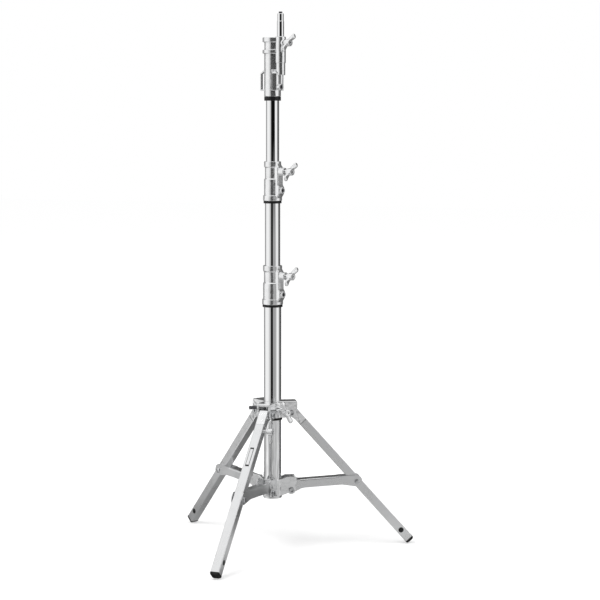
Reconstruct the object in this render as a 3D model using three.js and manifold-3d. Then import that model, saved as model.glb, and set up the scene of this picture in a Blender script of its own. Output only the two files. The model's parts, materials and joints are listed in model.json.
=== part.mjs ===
// Lighting stand with two telescoping risers on a folding three-legged base.
//
// A sliding collar carries three box-section legs, and a fixed collar at the column's foot
// carries three channel braces that straddle them. Each riser is held by a cast collar with a
// T-handled lock, and the head has a 28 mm socket with a 16 mm spigot beside it.
//
// Millimetres, +Z up along the column. The origin is on the column's axis, at the flat
// underside of its end cap. The front leg points to -Y, the others are 120 degrees round.
// Outlines in the upright plane of a leg use "out", the distance from the column's axis, and
// z; "side" runs across that plane, to +X for the front leg.

import * as THREE from "three";
import { mergeVertices } from "three/addons/utils/BufferGeometryUtils.js";
import Module from "manifold-3d";

const wasm = await Module();
wasm.setup();

// ---- Clearances ----
const seatGap = 0.3; // between pieces that rest against each other
const slideGap = 0.3; // round a tube that slides in a collar
const pivotGap = 0.1; // round a bolt, in a piece that turns on it

// ---- Tubes ----
const columnRadius = 20;
const tubeWall = 1.6;
const nestGap = 0.9; // between a tube's bore and the tube inside it
const columnLength = 494.9;
const middleTubeLength = 510;
const topTubeLength = 565;
const middleShowing = 149; // between the riser collars
const topShowing = 147.9; // between the upper collar and the head
const guideFlange = 8;
const guideTang = 14;

// ---- End cap under the column ----
const capLip = 1.6; // beyond the column
const capThickness = 5;
const capPlug = 15;

// ---- Legs, hung on the sliding collar ----
const legWidth = 21;
const legDepth = 20;
const legWall = 2;
const legCorner = 2;
const legLength = 424; // from the pivot's level to the foot's end
const legTilt = 41.6; // degrees from upright, spread
const legPivotReach = 22; // from the column to the pivot
const legOffset = 6.2; // from the pivot out to the leg's centre line
const legTop = 2;
const headLength = 36;
const headTang = 40;
const headEyeRadius = 9.5;
const footThickness = 7.5;
const footLip = 1.25;
const footRound = 3; // of the sole's edge
const footTang = 12;
const plugRadius = 6.7;
const plugFromFoot = 36.5; // from the foot up to the plugged cross hole
const legHandleDistance = 48; // below the pivot, along the leg
const legHandleGap = 7; // screw showing beside the leg

// ---- Sliding leg collar ----
const legCollarBase = 189.4;
const legCollarHeight = 35.6;
const legCollarWall = 5.2;
const legPivotHeight = 11; // above the collar's base
const legLugReach = 14; // outwards from the pivot
const legLugThickness = 5;
const legLugPlay = 1; // beside the leg
const legRoofPlay = 3.5; // over the swing of the leg's head
const legRoofThickness = 7.5;
const legLobeRadius = 10;
const collarBushHeight = 5.4;
const collarBushWall = 2.7;
const lockScrewHeight = 16.5;
const lockBossReach = 16; // beyond the column
const lockHubGap = 7; // screw showing between the boss and the handle's hub
const stopScrewHeight = 22.6;
const stopScrewRadius = 4.5;
const stopBossRadius = 8;
const stopScrewShowing = 19;

// ---- Fixed brace collar ----
const braceCollarHeight = 40;
const braceCollarWall = 4.2;
const braceCollarFlat = 2.2; // wall left behind each pair of lugs
const bracePivotReach = 22; // from the column to the pivot
const bracePivotZ = 19.2;
const braceLugThickness = 4;
const braceLugPlay = 0.7;
const braceLugReach = 12;
const braceLugTop = 31; // above the pivot
const braceLobeRadius = 10;

// ---- Braces ----
const braceWall = 2;
const bracePlay = 0.8; // beside the leg, inside the channel
const braceBottom = 2; // above the pivot
const braceTop = 22;
const braceRivetLift = 6.65; // of the leg rivet above the pivot, square to the brace
const braceEyeRadius = 9;
const braceEndRadius = 12;
const braceWebStart = 20;
const braceReachOut = 198; // from the column's axis to the leg rivet
const braceWebSetback = 42.5; // from the rivet, room for the leg to pass
const rivetRadius = 3.9;
const rivetHeadRadius = 6.5;
const rivetHeadHeight = 2.6;
const rivetCrownRadius = 4.6;

// ---- Pivot bolts ----
const boltRadius = 4;
const boltHeadRadius = 6.5;
const boltHeadHeight = 4.5;
const boltSocketRadius = 2.9;
const boltSocketDepth = 2.5;

// ---- Riser collars, measured up from each casting's lower end ----
const collarWall = 2; // round the tube that it sits on
const collarFlange = 2.2; // beyond the skirt
const collarFlangeTop = 12;
const collarSkirtTop = 51;
const collarWaist = 2.1; // in from the skirt
const collarBarrelTop = 77;
const collarHeight = 90;
const collarSeat = 48; // where the lower tube ends
const collarRingHeight = 5.5;
const collarRingWall = 2.9;
const chamfer = 1;
const bossWidth = 19.5;
const bossReach = 4; // beyond the skirt
const bossInset = 1; // from the casting's two ends
const bossTopInset = 5; // in from the skirt, where the top slant starts
const bossFootReach = 7.6; // beyond the skirt, round the pinch screw
const bossShoulder = 5;
const clampBossRadius = 9;
const clampBossReach = 18; // beyond the skirt
const clampHeight = 67;
const clampHubGap = 6; // screw showing between the boss and the handle's hub
const pinchBossRadius = 7;
const pinchBossReach = 11.7; // beyond the skirt
const pinchHeight = 24;
const pinchShankRadius = 2.5;
const pinchHeadRadius = 4.25;
const pinchHeadDepth = 6;

// ---- Clamping T-handles ----
const clampScrewRadius = 4;
const handleHubRadius = 8.2;
const handleHubLength = 16;
const handleNeckRadius = 6.6; // of the hub's inner end
const handleSocketRadius = 2.6; // in the hub's outer end
const handleSocketDepth = 3;
const handleSpan = 57;
const wingTipRadius = 6;
const wingNeck = 8.6; // width beside the hub
const wingStart = 4; // outwards from the hub's inner end
const wingRoot = 8; // thickness at the hub
const wingTip = 5.5; // thickness at the ends
const wingSweep = 4; // how far the ends stand outwards
const clampTurn = 50; // degrees that a riser clamp's wings lean off upright
const lockTurn = -28;
const padRadius = 7;
const padThickness = 3;
const padTravel = 1.25; // one turn of the screw

// ---- Combination head, measured up from the casting's lower end ----
const headWall = 3.8; // round the tube or the socket, whichever is larger
const headBarrelTop = 97;
const headFlange = 3.8; // beyond the barrel
const headFlangeTop = 105;
const headNeckInset = 0.4;
const headNeckTop = 123;
const headHeight = 133;
const headTubeSeat = 56;
const socketFloor = 61;
const socketRadius = 14.3;
const headRingHeight = 9.4;
const headRingWall = 3.8;
const spigotReach = 4.6; // of its axis beyond the barrel
const spigotBossWall = 3.5;
const spigotRibWall = 2.8;
const spigotRibBottom = 48;
const spigotJog = 75;
const spigotBossTop = 134.5;
const spigotRadius = 8;
const spigotLength = 56;
const spigotGrooveDepth = 0.8;
const spigotGrooveStart = 34;
const spigotTipInset = 3.5;
const spigotTipHeight = 4;
const spigotShank = 7; // length below its seat
const spigotShankRadius = 4;
const headClampHeight = 120.5;
const headClampBossLip = 1; // beyond the spigot's boss
const headClampHubGap = 1; // screw showing between the boss and the handle's hub
const headPinchHeight = 21;
const headPinchReach = 7.4;
const eyeletBottom = 13;
const eyeletTop = 61;
const eyeletWidth = 11;
const eyeletThickness = 2.6;
const eyeletReach = 6.8; // clear space inside the loop
const eyeletSlant = 9;

// ---- Directions round the column, in degrees from the front leg ----
const legAzimuths = { front: 0, right: 120, left: -120 };
const clampAzimuth = 72;
const lockAzimuth = 60;
const stopAzimuth = -60;
const eyeletAzimuths = [-90, 30, 150];

// ---- Facets ----
const tubeFacets = 30;
const roundFacets = 24; // castings and other large rounds
const rodFacets = 12;
const screwFacets = 8;
const arcSegments = 3;
const cornerSegments = 2;
const overshoot = 2; // how far a cutting solid runs past what it cuts

// ---- Worked out from the sizes above ----
const columnInner = columnRadius - tubeWall;
const middleRadius = columnInner - nestGap;
const middleInner = middleRadius - tubeWall;
const topRadius = middleInner - nestGap;
const topInner = topRadius - tubeWall;
const columnBottom = capThickness + seatGap;
const columnTop = columnBottom + columnLength;
const lowerCollarBase = columnTop + seatGap - collarSeat;
const upperCollarBase = lowerCollarBase + collarHeight + middleShowing;
const middleTop = upperCollarBase + collarSeat - seatGap;
const headBase = upperCollarBase + collarHeight + topShowing;
const topTubeTop = headBase + headTubeSeat - seatGap;
const capRadius = columnRadius + capLip;
const headBarrelRadius = Math.max(topRadius + seatGap, socketRadius) + headWall;
const headFlangeRadius = headBarrelRadius + headFlange;
const headNeckRadius = headBarrelRadius - headNeckInset;
const headRingRadius = topRadius + slideGap + headRingWall;
const headPinchOut = headBarrelRadius + headPinchReach;
const spigotOut = headBarrelRadius + spigotReach;
const spigotBossRadius = spigotRadius + spigotBossWall;
const headClampBossOut = spigotOut + spigotBossRadius + headClampBossLip;
const collarBore = columnRadius + slideGap;
const lockBossOut = columnRadius + lockBossReach;
const legPivotOut = columnRadius + legPivotReach;
const legPivotZ = legCollarBase + legPivotHeight;
const legSwing = Math.hypot(legOffset + legDepth / 2, legTop); // of the head's outer corner
const legCeiling = legPivotZ + legSwing + legRoofPlay;
const legRoofTop = legCeiling + legRoofThickness;
const plugDistance = legLength - plugFromFoot;
const bracePivotOut = columnRadius + bracePivotReach;
const legLugInner = legWidth / 2 + legLugPlay;
const legLugOuter = legLugInner + legLugThickness;
const braceInner = legWidth / 2 + bracePlay;
const braceOuter = braceInner + braceWall;
const braceLugInner = braceOuter + braceLugPlay;
const braceLugOuter = braceLugInner + braceLugThickness;
const boltHole = (boltRadius + pivotGap) / Math.cos(Math.PI / rodFacets); // at its corners
const radians = THREE.MathUtils.degToRad;

// The leg's centre line passes the brace's rivet where it is braceReachOut from the axis, and
// the brace slopes so that the rivet lies braceRivetLift above its pivot.
const tilt = radians(legTilt);
const rivetAlong = (braceReachOut - legPivotOut - legOffset * Math.cos(tilt)) / Math.sin(tilt);
const rivetRise = legPivotZ + legOffset * Math.sin(tilt) - rivetAlong * Math.cos(tilt) - bracePivotZ;
const rivetSpan = braceReachOut - bracePivotOut;
const rivetRadial = Math.hypot(rivetSpan, rivetRise);
const slope = Math.atan2(rivetRise, rivetSpan) - Math.asin(braceRivetLift / rivetRadial);
const rivetOut = Math.sqrt(rivetRadial ** 2 - braceRivetLift ** 2);
const rivetUp = braceRivetLift;

// ---- Materials ----
function metal(color, roughness) {
  return new THREE.MeshStandardMaterial({ color, roughness, metalness: 1 });
}

function plain(color, roughness) {
  return new THREE.MeshStandardMaterial({ color, roughness, metalness: 0 });
}

const chrome = metal(0xd6d8da, 0.08);
const castChrome = metal(0xcfd1d3, 0.2);
const satinSteel = metal(0xbfc1c4, 0.35);
const zinc = metal(0xa9abad, 0.3);
const darkSteel = metal(0x3a3b3d, 0.35);
const brass = metal(0xb59a5a, 0.35);
const blackPlastic = plain(0x141414, 0.5);
const blackRubber = plain(0x101010, 0.85);

// ---- Booleans ----
function toSolid(geometry) {
  const bare = geometry.clone();
  bare.deleteAttribute("normal");
  bare.deleteAttribute("uv");
  const merged = mergeVertices(bare, 1e-4);
  const corners = merged.index.array;
  const faces = [];
  for (let i = 0; i < corners.length; i += 3) {
    const [a, b, c] = [corners[i], corners[i + 1], corners[i + 2]];
    if (a !== b && b !== c && c !== a) faces.push(a, b, c);
  }
  const vertProperties = merged.attributes.position.array;
  return new wasm.Manifold(
    new wasm.Mesh({ numProp: 3, vertProperties, triVerts: new Uint32Array(faces) }),
  );
}

function toGeometry(solid) {
  const { vertProperties, triVerts } = solid.getMesh();
  const geometry = new THREE.BufferGeometry();
  geometry.setAttribute("position", new THREE.BufferAttribute(vertProperties, 3));
  geometry.setIndex(new THREE.BufferAttribute(triVerts, 1));
  return geometry;
}

function join(...geometries) {
  return toGeometry(geometries.map(toSolid).reduce((whole, piece) => whole.add(piece)));
}

function cut(geometry, ...tools) {
  return toGeometry([geometry, ...tools].map(toSolid).reduce((left, tool) => left.subtract(tool)));
}

function common(first, second) {
  return toGeometry(toSolid(first).intersect(toSolid(second)));
}

// ---- Basic forms ----

// A turned form from [radius, z] points that run up the outside, from axis to axis or closed.
function turned(profile, facets = roundFacets) {
  const points = profile.map(([radius, z]) => new THREE.Vector2(radius, z));
  const geometry = new THREE.LatheGeometry(points, facets);
  return geometry.rotateX(Math.PI / 2);
}

// An upright ring of square section. Its bore's flats stand at the inner radius.
function ring(inner, outer, bottom, top, facets = roundFacets) {
  const hole = inner / Math.cos(Math.PI / facets);
  return turned([[hole, bottom], [outer, bottom], [outer, top], [hole, top], [hole, bottom]], facets);
}

// An upright rod round the axis.
function upright(radius, bottom, top, facets = roundFacets) {
  const geometry = new THREE.CylinderGeometry(radius, radius, top - bottom, facets);
  return geometry.rotateX(Math.PI / 2).translate(0, 0, (bottom + top) / 2);
}

// What a bore removes: its flats, not its corners, stand at the radius.
function bore(radius, bottom, top, facets = roundFacets) {
  return upright(radius / Math.cos(Math.PI / facets), bottom, top, facets);
}

// A rod that points outwards from the axis, to -Y.
function outward(radius, from, to, z, facets = rodFacets) {
  const geometry = new THREE.CylinderGeometry(radius, radius, to - from, facets);
  return geometry.translate(0, -(from + to) / 2, z);
}

// A rod that lies across the leg's plane, along X.
function crosswise(radius, out, z, from, to, facets = rodFacets) {
  const geometry = new THREE.CylinderGeometry(radius, radius, to - from, facets);
  return geometry.rotateZ(Math.PI / 2).translate((from + to) / 2, -out, z);
}

// An outline in the leg's plane, x for out and y for z, made solid between two sides.
function across(shape, from, to) {
  const geometry = new THREE.ExtrudeGeometry(shape, {
    depth: to - from,
    bevelEnabled: false,
    curveSegments: arcSegments,
  });
  geometry.translate(0, 0, -to);
  const frame = new THREE.Matrix4().makeBasis(
    new THREE.Vector3(0, -1, 0),
    new THREE.Vector3(0, 0, 1),
    new THREE.Vector3(-1, 0, 0),
  );
  return geometry.applyMatrix4(frame);
}

function outline(points) {
  return new THREE.Shape(points.map(([out, z]) => new THREE.Vector2(out, z)));
}

function toAzimuth(geometry, azimuth) {
  return geometry.rotateZ(radians(azimuth));
}

// A box section, with its centre set out from the pivot, as a horizontal outline.
function legSection(width, depth, corner) {
  const [x, y] = [width / 2, depth / 2];
  const shape = new THREE.Shape();
  shape.absarc(x - corner, -legOffset + y - corner, corner, 0, Math.PI / 2);
  shape.absarc(-x + corner, -legOffset + y - corner, corner, Math.PI / 2, Math.PI);
  shape.absarc(-x + corner, -legOffset - y + corner, corner, Math.PI, 1.5 * Math.PI);
  shape.absarc(x - corner, -legOffset - y + corner, corner, 1.5 * Math.PI, 2 * Math.PI);
  return shape;
}

function raised(shape, bottom, top) {
  const settings = { depth: top - bottom, bevelEnabled: false, curveSegments: cornerSegments };
  return new THREE.ExtrudeGeometry(shape, settings).translate(0, 0, bottom);
}

// ---- Fasteners ----

// A bolt across a pair of lugs, with a socket head at each end.
function pivotBolt(lugOuter) {
  const seat = lugOuter + seatGap;
  const end = seat + boltHeadHeight;
  const floor = end - boltSocketDepth;
  return cut(
    join(
      crosswise(boltRadius, 0, 0, -seat - 1, seat + 1, screwFacets),
      crosswise(boltHeadRadius, 0, 0, seat, end),
      crosswise(boltHeadRadius, 0, 0, -end, -seat),
    ),
    crosswise(boltSocketRadius, 0, 0, floor, end + overshoot, 6),
    crosswise(boltSocketRadius, 0, 0, -end - overshoot, -floor, 6),
  );
}

// A stub rivet in one flange of a brace, with its domed head outside. It ends flush inside.
function stubRivet() {
  const profile = [[0, 0], [rivetRadius, 0], [rivetRadius, braceWall + seatGap]];
  const headFoot = braceWall + seatGap;
  profile.push([rivetHeadRadius, headFoot], [rivetHeadRadius, headFoot + rivetHeadHeight / 2]);
  profile.push([rivetCrownRadius, headFoot + rivetHeadHeight], [0, headFoot + rivetHeadHeight]);
  return turned(profile, screwFacets).rotateY(Math.PI / 2).translate(braceInner, 0, 0);
}

// A socket-head screw that points inwards: its tip at "tip", its head's end at "end".
function socketScrew(tip, end, shankRadius, screwHeadRadius, headDepth, z) {
  return cut(
    join(outward(shankRadius, tip, end - 1, z), outward(screwHeadRadius, end - headDepth, end, z)),
    outward(screwHeadRadius / 2, end - headDepth / 2, end + overshoot, z, 6),
  );
}

// The hole and counterbore of a pinch screw in a boss that ends at bossEnd.
function pinchCuts(bossEnd, z) {
  const seat = bossEnd - pinchHeadDepth - seatGap;
  return [
    outward(pinchShankRadius + seatGap, 0, bossEnd + overshoot, z),
    outward(pinchHeadRadius + seatGap, seat, bossEnd + overshoot, z),
  ];
}

function pinchScrew(tubeRadius, bossEnd, z) {
  return socketScrew(tubeRadius + slideGap, bossEnd, pinchShankRadius, pinchHeadRadius, pinchHeadDepth, z);
}

// The wings of a T-handle, upright and centred on its screw: a waisted bar with round ends in
// front view, cut to a swept and tapered profile in side view.
function handleWings() {
  const reach = handleSpan / 2 - wingTipRadius;
  const neck = wingNeck / 2;
  const waist = handleHubRadius;
  const front = new THREE.Shape();
  front.moveTo(neck, -waist);
  front.lineTo(neck, waist);
  front.absarc(0, reach, wingTipRadius, 0, Math.PI);
  front.lineTo(-neck, waist);
  front.lineTo(-neck, -waist);
  front.absarc(0, -reach, wingTipRadius, Math.PI, 2 * Math.PI);
  const depth = wingSweep + wingRoot + overshoot;
  const bar = new THREE.ExtrudeGeometry(front, {
    depth,
    bevelEnabled: false,
    curveSegments: arcSegments,
  });
  const end = handleSpan / 2 + overshoot;
  const side = outline([
    [0, 0],
    [wingSweep, -end],
    [wingSweep + wingTip, -end],
    [wingRoot, -waist],
    [wingRoot, waist],
    [wingSweep + wingTip, end],
    [wingSweep, end],
  ]);
  return common(bar.rotateX(Math.PI / 2), across(side, -end, end));
}

// A clamping screw with its T-handle, pointing outwards to -Y from its own axis origin. The
// upper wing leans to +X by the turn.
function tHandle(shankStart, hubStart, turn) {
  const hubEnd = hubStart + handleHubLength;
  const hubWaist = hubStart + wingStart;
  const wings = handleWings().rotateY(radians(turn)).translate(0, -hubWaist, 0);
  return cut(
    join(
      outward(clampScrewRadius, shankStart, hubStart + 1, 0, screwFacets),
      outward(handleNeckRadius, hubStart, hubWaist + 1, 0),
      outward(handleHubRadius, hubWaist, hubEnd, 0),
      wings,
    ),
    outward(handleSocketRadius, hubEnd - handleSocketDepth, hubEnd + overshoot, 0, 6),
  );
}

// The pad that a clamping screw presses on a round of the given radius.
function clampPad(roundRadius) {
  const face = roundRadius + slideGap;
  return cut(
    outward(padRadius, face / 2, face + padThickness, 0),
    bore(face, -padRadius - overshoot, padRadius + overshoot),
  );
}

// The cuts that a clamping screw and its pad need in the casting round them.
function clampCuts(roundRadius, bossOutEnd, z) {
  const pocketEnd = roundRadius + slideGap + padThickness + padTravel + seatGap;
  return [
    outward(padRadius + seatGap, roundRadius / 2, pocketEnd, z),
    outward(clampScrewRadius + seatGap, roundRadius, bossOutEnd + overshoot, z),
  ];
}

// ---- Tubes and their guides ----
function tube(radius, bottom, top) {
  return ring(radius - tubeWall, radius, bottom, top, tubeFacets);
}

// The plastic guide in a riser's lower end: a flange that runs in the outer tube, and a tang.
function guide(boreRadius, innerRadius, tubeBottom) {
  const foot = tubeBottom - seatGap - guideFlange;
  const shoulder = tubeBottom - seatGap;
  const runRadius = boreRadius - slideGap;
  const tangRadius = innerRadius - seatGap;
  const profile = [[0, foot], [runRadius - chamfer, foot], [runRadius, foot + chamfer]];
  profile.push([runRadius, shoulder], [tangRadius, shoulder]);
  profile.push([tangRadius, shoulder + guideTang], [0, shoulder + guideTang]);
  return turned(profile);
}

function endCap() {
  const plug = columnInner - seatGap;
  const profile = [[0, 0], [capRadius - chamfer, 0], [capRadius, chamfer]];
  profile.push([capRadius, capThickness], [plug, capThickness]);
  profile.push([plug, capThickness + capPlug], [0, capThickness + capPlug]);
  return turned(profile);
}

// ---- Riser collars ----

// The casting on the end of a tube, with its boss to the front at azimuth 0.
function riserCollar(tubeRadius, riserRadius) {
  const skirt = tubeRadius + collarWall;
  const flange = skirt + collarFlange;
  const barrel = skirt - collarWaist;
  const profile = [
    [0, 0],
    [flange - chamfer, 0],
    [flange, chamfer],
    [flange, collarFlangeTop - chamfer],
    [flange - chamfer, collarFlangeTop],
    [skirt, collarFlangeTop],
    [skirt, collarSkirtTop - 2 * chamfer],
    [barrel, collarSkirtTop],
    [barrel, collarBarrelTop - chamfer],
    [skirt, collarBarrelTop + chamfer],
    [skirt, collarHeight - chamfer],
    [skirt - chamfer, collarHeight],
    [0, collarHeight],
  ];
  const clampEnd = skirt + clampBossReach;
  const pinchEnd = skirt + pinchBossReach;
  return cut(
    join(
      turned(profile),
      riserBoss(skirt),
      outward(clampBossRadius, 0, clampEnd, clampHeight),
      outward(pinchBossRadius, 0, pinchEnd, pinchHeight),
    ),
    bore(tubeRadius + seatGap, -overshoot, collarSeat),
    bore(riserRadius + slideGap, 0, collarHeight + overshoot),
    ...clampCuts(riserRadius, clampEnd, clampHeight),
    ...pinchCuts(pinchEnd, pinchHeight),
  );
}

// The rib that carries both screws: slanted at its two ends, and deeper at the pinch screw.
function riserBoss(skirt) {
  const out = skirt + bossReach;
  const footOut = skirt + bossFootReach;
  const footTop = pinchHeight + pinchBossRadius;
  const top = collarHeight - bossInset;
  const side = outline([
    [0, bossInset],
    [skirt - bossShoulder, bossInset],
    [footOut, pinchHeight - pinchBossRadius],
    [footOut, footTop],
    [out, footTop + bossShoulder],
    [out, clampHeight + clampBossRadius],
    [skirt - bossTopInset, top],
    [0, top],
  ]);
  return across(side, -bossWidth / 2, bossWidth / 2);
}

// ---- Combination head ----

// A guy-line eyelet at azimuth 0: a strap off the barrel, with a slanted top.
function eyelet() {
  const outer = headBarrelRadius + eyeletReach + eyeletThickness;
  const innerOut = outer - eyeletThickness;
  const root = headBarrelRadius / 2;
  const slantRise = outer - headBarrelRadius;
  const loop = outline([
    [root, eyeletBottom],
    [outer - chamfer, eyeletBottom],
    [outer, eyeletBottom + chamfer],
    [outer, eyeletTop - eyeletSlant],
    [outer - slantRise, eyeletTop],
    [root, eyeletTop],
  ]);
  const windowBottom = eyeletBottom + eyeletThickness;
  const windowTop = eyeletTop - eyeletSlant - eyeletThickness / 2;
  loop.holes.push(
    new THREE.Path([
      new THREE.Vector2(headBarrelRadius, windowBottom),
      new THREE.Vector2(innerOut, windowBottom),
      new THREE.Vector2(innerOut, windowTop),
      new THREE.Vector2(headBarrelRadius, windowTop + eyeletSlant / 2),
    ]),
  );
  return across(loop, -eyeletWidth / 2, eyeletWidth / 2);
}

function headCasting() {
  const profile = [
    [0, 0],
    [headBarrelRadius, 0],
    [headBarrelRadius, headBarrelTop],
    [headFlangeRadius, headBarrelTop],
    [headFlangeRadius, headFlangeTop],
    [headNeckRadius, headFlangeTop],
    [headNeckRadius, headNeckTop],
    [headFlangeRadius, headNeckTop],
    [headFlangeRadius, headHeight - chamfer],
    [headFlangeRadius - chamfer, headHeight],
    [0, headHeight],
  ];
  const rib = upright(spigotRadius + spigotRibWall, spigotRibBottom, spigotJog + chamfer, rodFacets);
  const boss = upright(spigotBossRadius, spigotJog, spigotBossTop, rodFacets);
  return cut(
    join(
      turned(profile),
      toAzimuth(rib.translate(0, -spigotOut, 0), clampAzimuth),
      toAzimuth(boss.translate(0, -spigotOut, 0), clampAzimuth),
      toAzimuth(outward(clampBossRadius, 0, headClampBossOut, headClampHeight), clampAzimuth),
      toAzimuth(outward(pinchBossRadius, 0, headPinchOut, headPinchHeight), clampAzimuth),
      ...eyeletAzimuths.map((azimuth) => toAzimuth(eyelet(), azimuth)),
    ),
    bore(topRadius + seatGap, -overshoot, headTubeSeat),
    bore(socketRadius, socketFloor, spigotBossTop + overshoot),
    ...clampCuts(socketRadius, headClampBossOut, headClampHeight).map((tool) =>
      toAzimuth(tool, clampAzimuth),
    ),
    toAzimuth(spigotHole(), clampAzimuth),
    ...pinchCuts(headPinchOut, headPinchHeight).map((tool) => toAzimuth(tool, clampAzimuth)),
  );
}

function spigotHole() {
  const hole = upright(
    spigotShankRadius + seatGap,
    spigotBossTop - spigotShank - seatGap,
    spigotBossTop + overshoot,
    rodFacets,
  );
  return hole.translate(0, -spigotOut, 0);
}

// The 16 mm spigot, from its own seat at z = 0, with its shank below.
function spigot() {
  const top = spigotLength - spigotTipHeight;
  const grooveRadius = spigotRadius - spigotGrooveDepth;
  const tipRadius = spigotRadius - spigotTipInset;
  const profile = [
    [0, -spigotShank],
    [spigotShankRadius, -spigotShank],
    [spigotShankRadius, 0],
    [spigotRadius, 0],
    [spigotRadius, spigotGrooveStart],
    [grooveRadius, spigotGrooveStart + chamfer],
    [grooveRadius, top - chamfer],
    [grooveRadius - chamfer, top],
    [tipRadius, top],
    [tipRadius, spigotLength],
    [0, spigotLength],
  ];
  return turned(profile, rodFacets);
}

// ---- Leg and brace collars ----

// One roofed pair of lugs for a leg at azimuth 0: an outline with the leg's mouth cut out.
function legLug() {
  const reach = legPivotOut + legLugReach;
  const shape = new THREE.Shape();
  shape.moveTo(columnRadius, legCollarBase);
  shape.lineTo(legPivotOut - legLobeRadius, legCollarBase);
  shape.absarc(legPivotOut, legPivotZ, legLobeRadius, 1.15 * Math.PI, 2.1 * Math.PI);
  shape.lineTo(reach, legPivotZ + legLobeRadius);
  shape.lineTo(reach, legRoofTop - 2 * chamfer);
  shape.lineTo(reach - 2 * chamfer, legRoofTop);
  shape.lineTo(columnRadius, legRoofTop);
  return across(shape, -legLugOuter, legLugOuter);
}

function legMouth() {
  const back = columnRadius + legCollarWall;
  const floor = legCollarBase - overshoot;
  const far = legPivotOut + legLugReach + overshoot;
  const mouth = outline([[back, floor], [far, floor], [far, legCeiling], [back, legCeiling]]);
  return across(mouth, -legLugInner, legLugInner);
}

function legCollar() {
  const top = legCollarBase + legCollarHeight;
  const lockZ = legCollarBase + lockScrewHeight;
  const stopZ = legCollarBase + stopScrewHeight;
  const spokes = Object.values(legAzimuths);
  return cut(
    join(
      upright(columnRadius + legCollarWall, legCollarBase, top),
      ...spokes.map((azimuth) => toAzimuth(legLug(), azimuth)),
      toAzimuth(outward(clampBossRadius, 0, lockBossOut, lockZ), lockAzimuth),
      toAzimuth(outward(stopBossRadius, 0, lockBossOut, stopZ), stopAzimuth),
    ),
    ...spokes.map((azimuth) => toAzimuth(legMouth(), azimuth)),
    ...spokes.map((azimuth) => toAzimuth(lugHoles(legPivotOut, legPivotZ, legLugOuter), azimuth)),
    bore(collarBore, legCollarBase - overshoot, legRoofTop + overshoot),
    ...clampCuts(columnRadius, lockBossOut, lockZ).map((tool) => toAzimuth(tool, lockAzimuth)),
    toAzimuth(
      outward(stopScrewRadius + seatGap, 0, lockBossOut + overshoot, stopZ),
      stopAzimuth,
    ),
  );
}

function lugHoles(out, z, outer) {
  return crosswise(boltRadius + seatGap, out, z, -outer - overshoot, outer + overshoot);
}

// One pair of lugs for a brace at azimuth 0, open above and below.
function braceLug() {
  const [out, z] = [bracePivotOut, bracePivotZ];
  const reach = out + braceLugReach;
  const shape = new THREE.Shape();
  shape.moveTo(columnRadius, columnBottom);
  shape.lineTo(out - braceLobeRadius, z - braceLobeRadius);
  shape.absarc(out, z, braceLobeRadius, 1.25 * Math.PI, 2.15 * Math.PI);
  shape.lineTo(out + braceLobeRadius * 0.75, z + braceLobeRadius);
  shape.lineTo(reach, z + braceLobeRadius * 1.6);
  shape.lineTo(reach, z + braceLugTop - 2 * chamfer);
  shape.lineTo(reach - 2 * chamfer, z + braceLugTop);
  shape.lineTo(out - braceLobeRadius, z + braceLugTop);
  shape.lineTo(columnRadius, columnBottom + braceCollarHeight);
  return across(shape, -braceLugOuter, braceLugOuter);
}

function braceSlot() {
  const back = collarBore + braceCollarFlat;
  const far = bracePivotOut + braceLugReach + overshoot;
  const floor = columnBottom - overshoot;
  const ceiling = bracePivotZ + braceLugTop + overshoot;
  const slot = outline([[back, floor], [far, floor], [far, ceiling], [back, ceiling]]);
  return across(slot, -braceLugInner, braceLugInner);
}

function braceCollar() {
  const spokes = Object.values(legAzimuths);
  const top = columnBottom + braceCollarHeight;
  return cut(
    join(
      upright(collarBore + braceCollarWall, columnBottom, top),
      ...spokes.map((azimuth) => toAzimuth(braceLug(), azimuth)),
    ),
    ...spokes.map((azimuth) => toAzimuth(braceSlot(), azimuth)),
    ...spokes.map((azimuth) =>
      toAzimuth(lugHoles(bracePivotOut, bracePivotZ, braceLugOuter), azimuth),
    ),
    bore(collarBore, columnBottom - overshoot, top + braceLugTop),
  );
}

// ---- Legs: drawn hanging straight down from the pivot, out to -Y ----
function legTube() {
  const section = legSection(legWidth, legDepth, legCorner);
  section.holes.push(legSection(legWidth - 2 * legWall, legDepth - 2 * legWall, legCorner / 2));
  const bottom = footThickness + seatGap - legLength;
  const body = raised(section, bottom, -headLength - seatGap);
  const side = legWidth / 2 + overshoot;
  return cut(body, crosswise(plugRadius + seatGap, legOffset, -plugDistance, -side, side));
}

// The front leg's tube has one more hole, for the T-handled screw on its right side.
function handledLegTube() {
  const hole = clampScrewRadius + seatGap;
  return cut(
    legTube(),
    crosswise(hole, legOffset, -legHandleDistance, 0, legWidth / 2 + overshoot),
  );
}

function legHead() {
  const outer = legOffset + legDepth / 2;
  const inner = legOffset - legDepth / 2;
  const throat = 2.1 * headEyeRadius;
  const shape = new THREE.Shape();
  shape.moveTo(outer, legTop);
  shape.lineTo(outer, -headLength);
  shape.lineTo(inner, -headLength);
  shape.lineTo(inner, -throat);
  shape.absarc(0, 0, headEyeRadius, 1.25 * Math.PI, 0.5 * Math.PI, true);
  const tangWidth = legWidth - 2 * (legWall + seatGap);
  const tangDepth = legDepth - 2 * (legWall + seatGap);
  const tang = legSection(tangWidth, tangDepth, legCorner / 2);
  return cut(
    join(
      across(shape, -legWidth / 2, legWidth / 2),
      raised(tang, -headLength - headTang, -headLength + 1),
    ),
    crosswise(boltHole, 0, 0, -legWidth, legWidth),
  );
}

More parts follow.
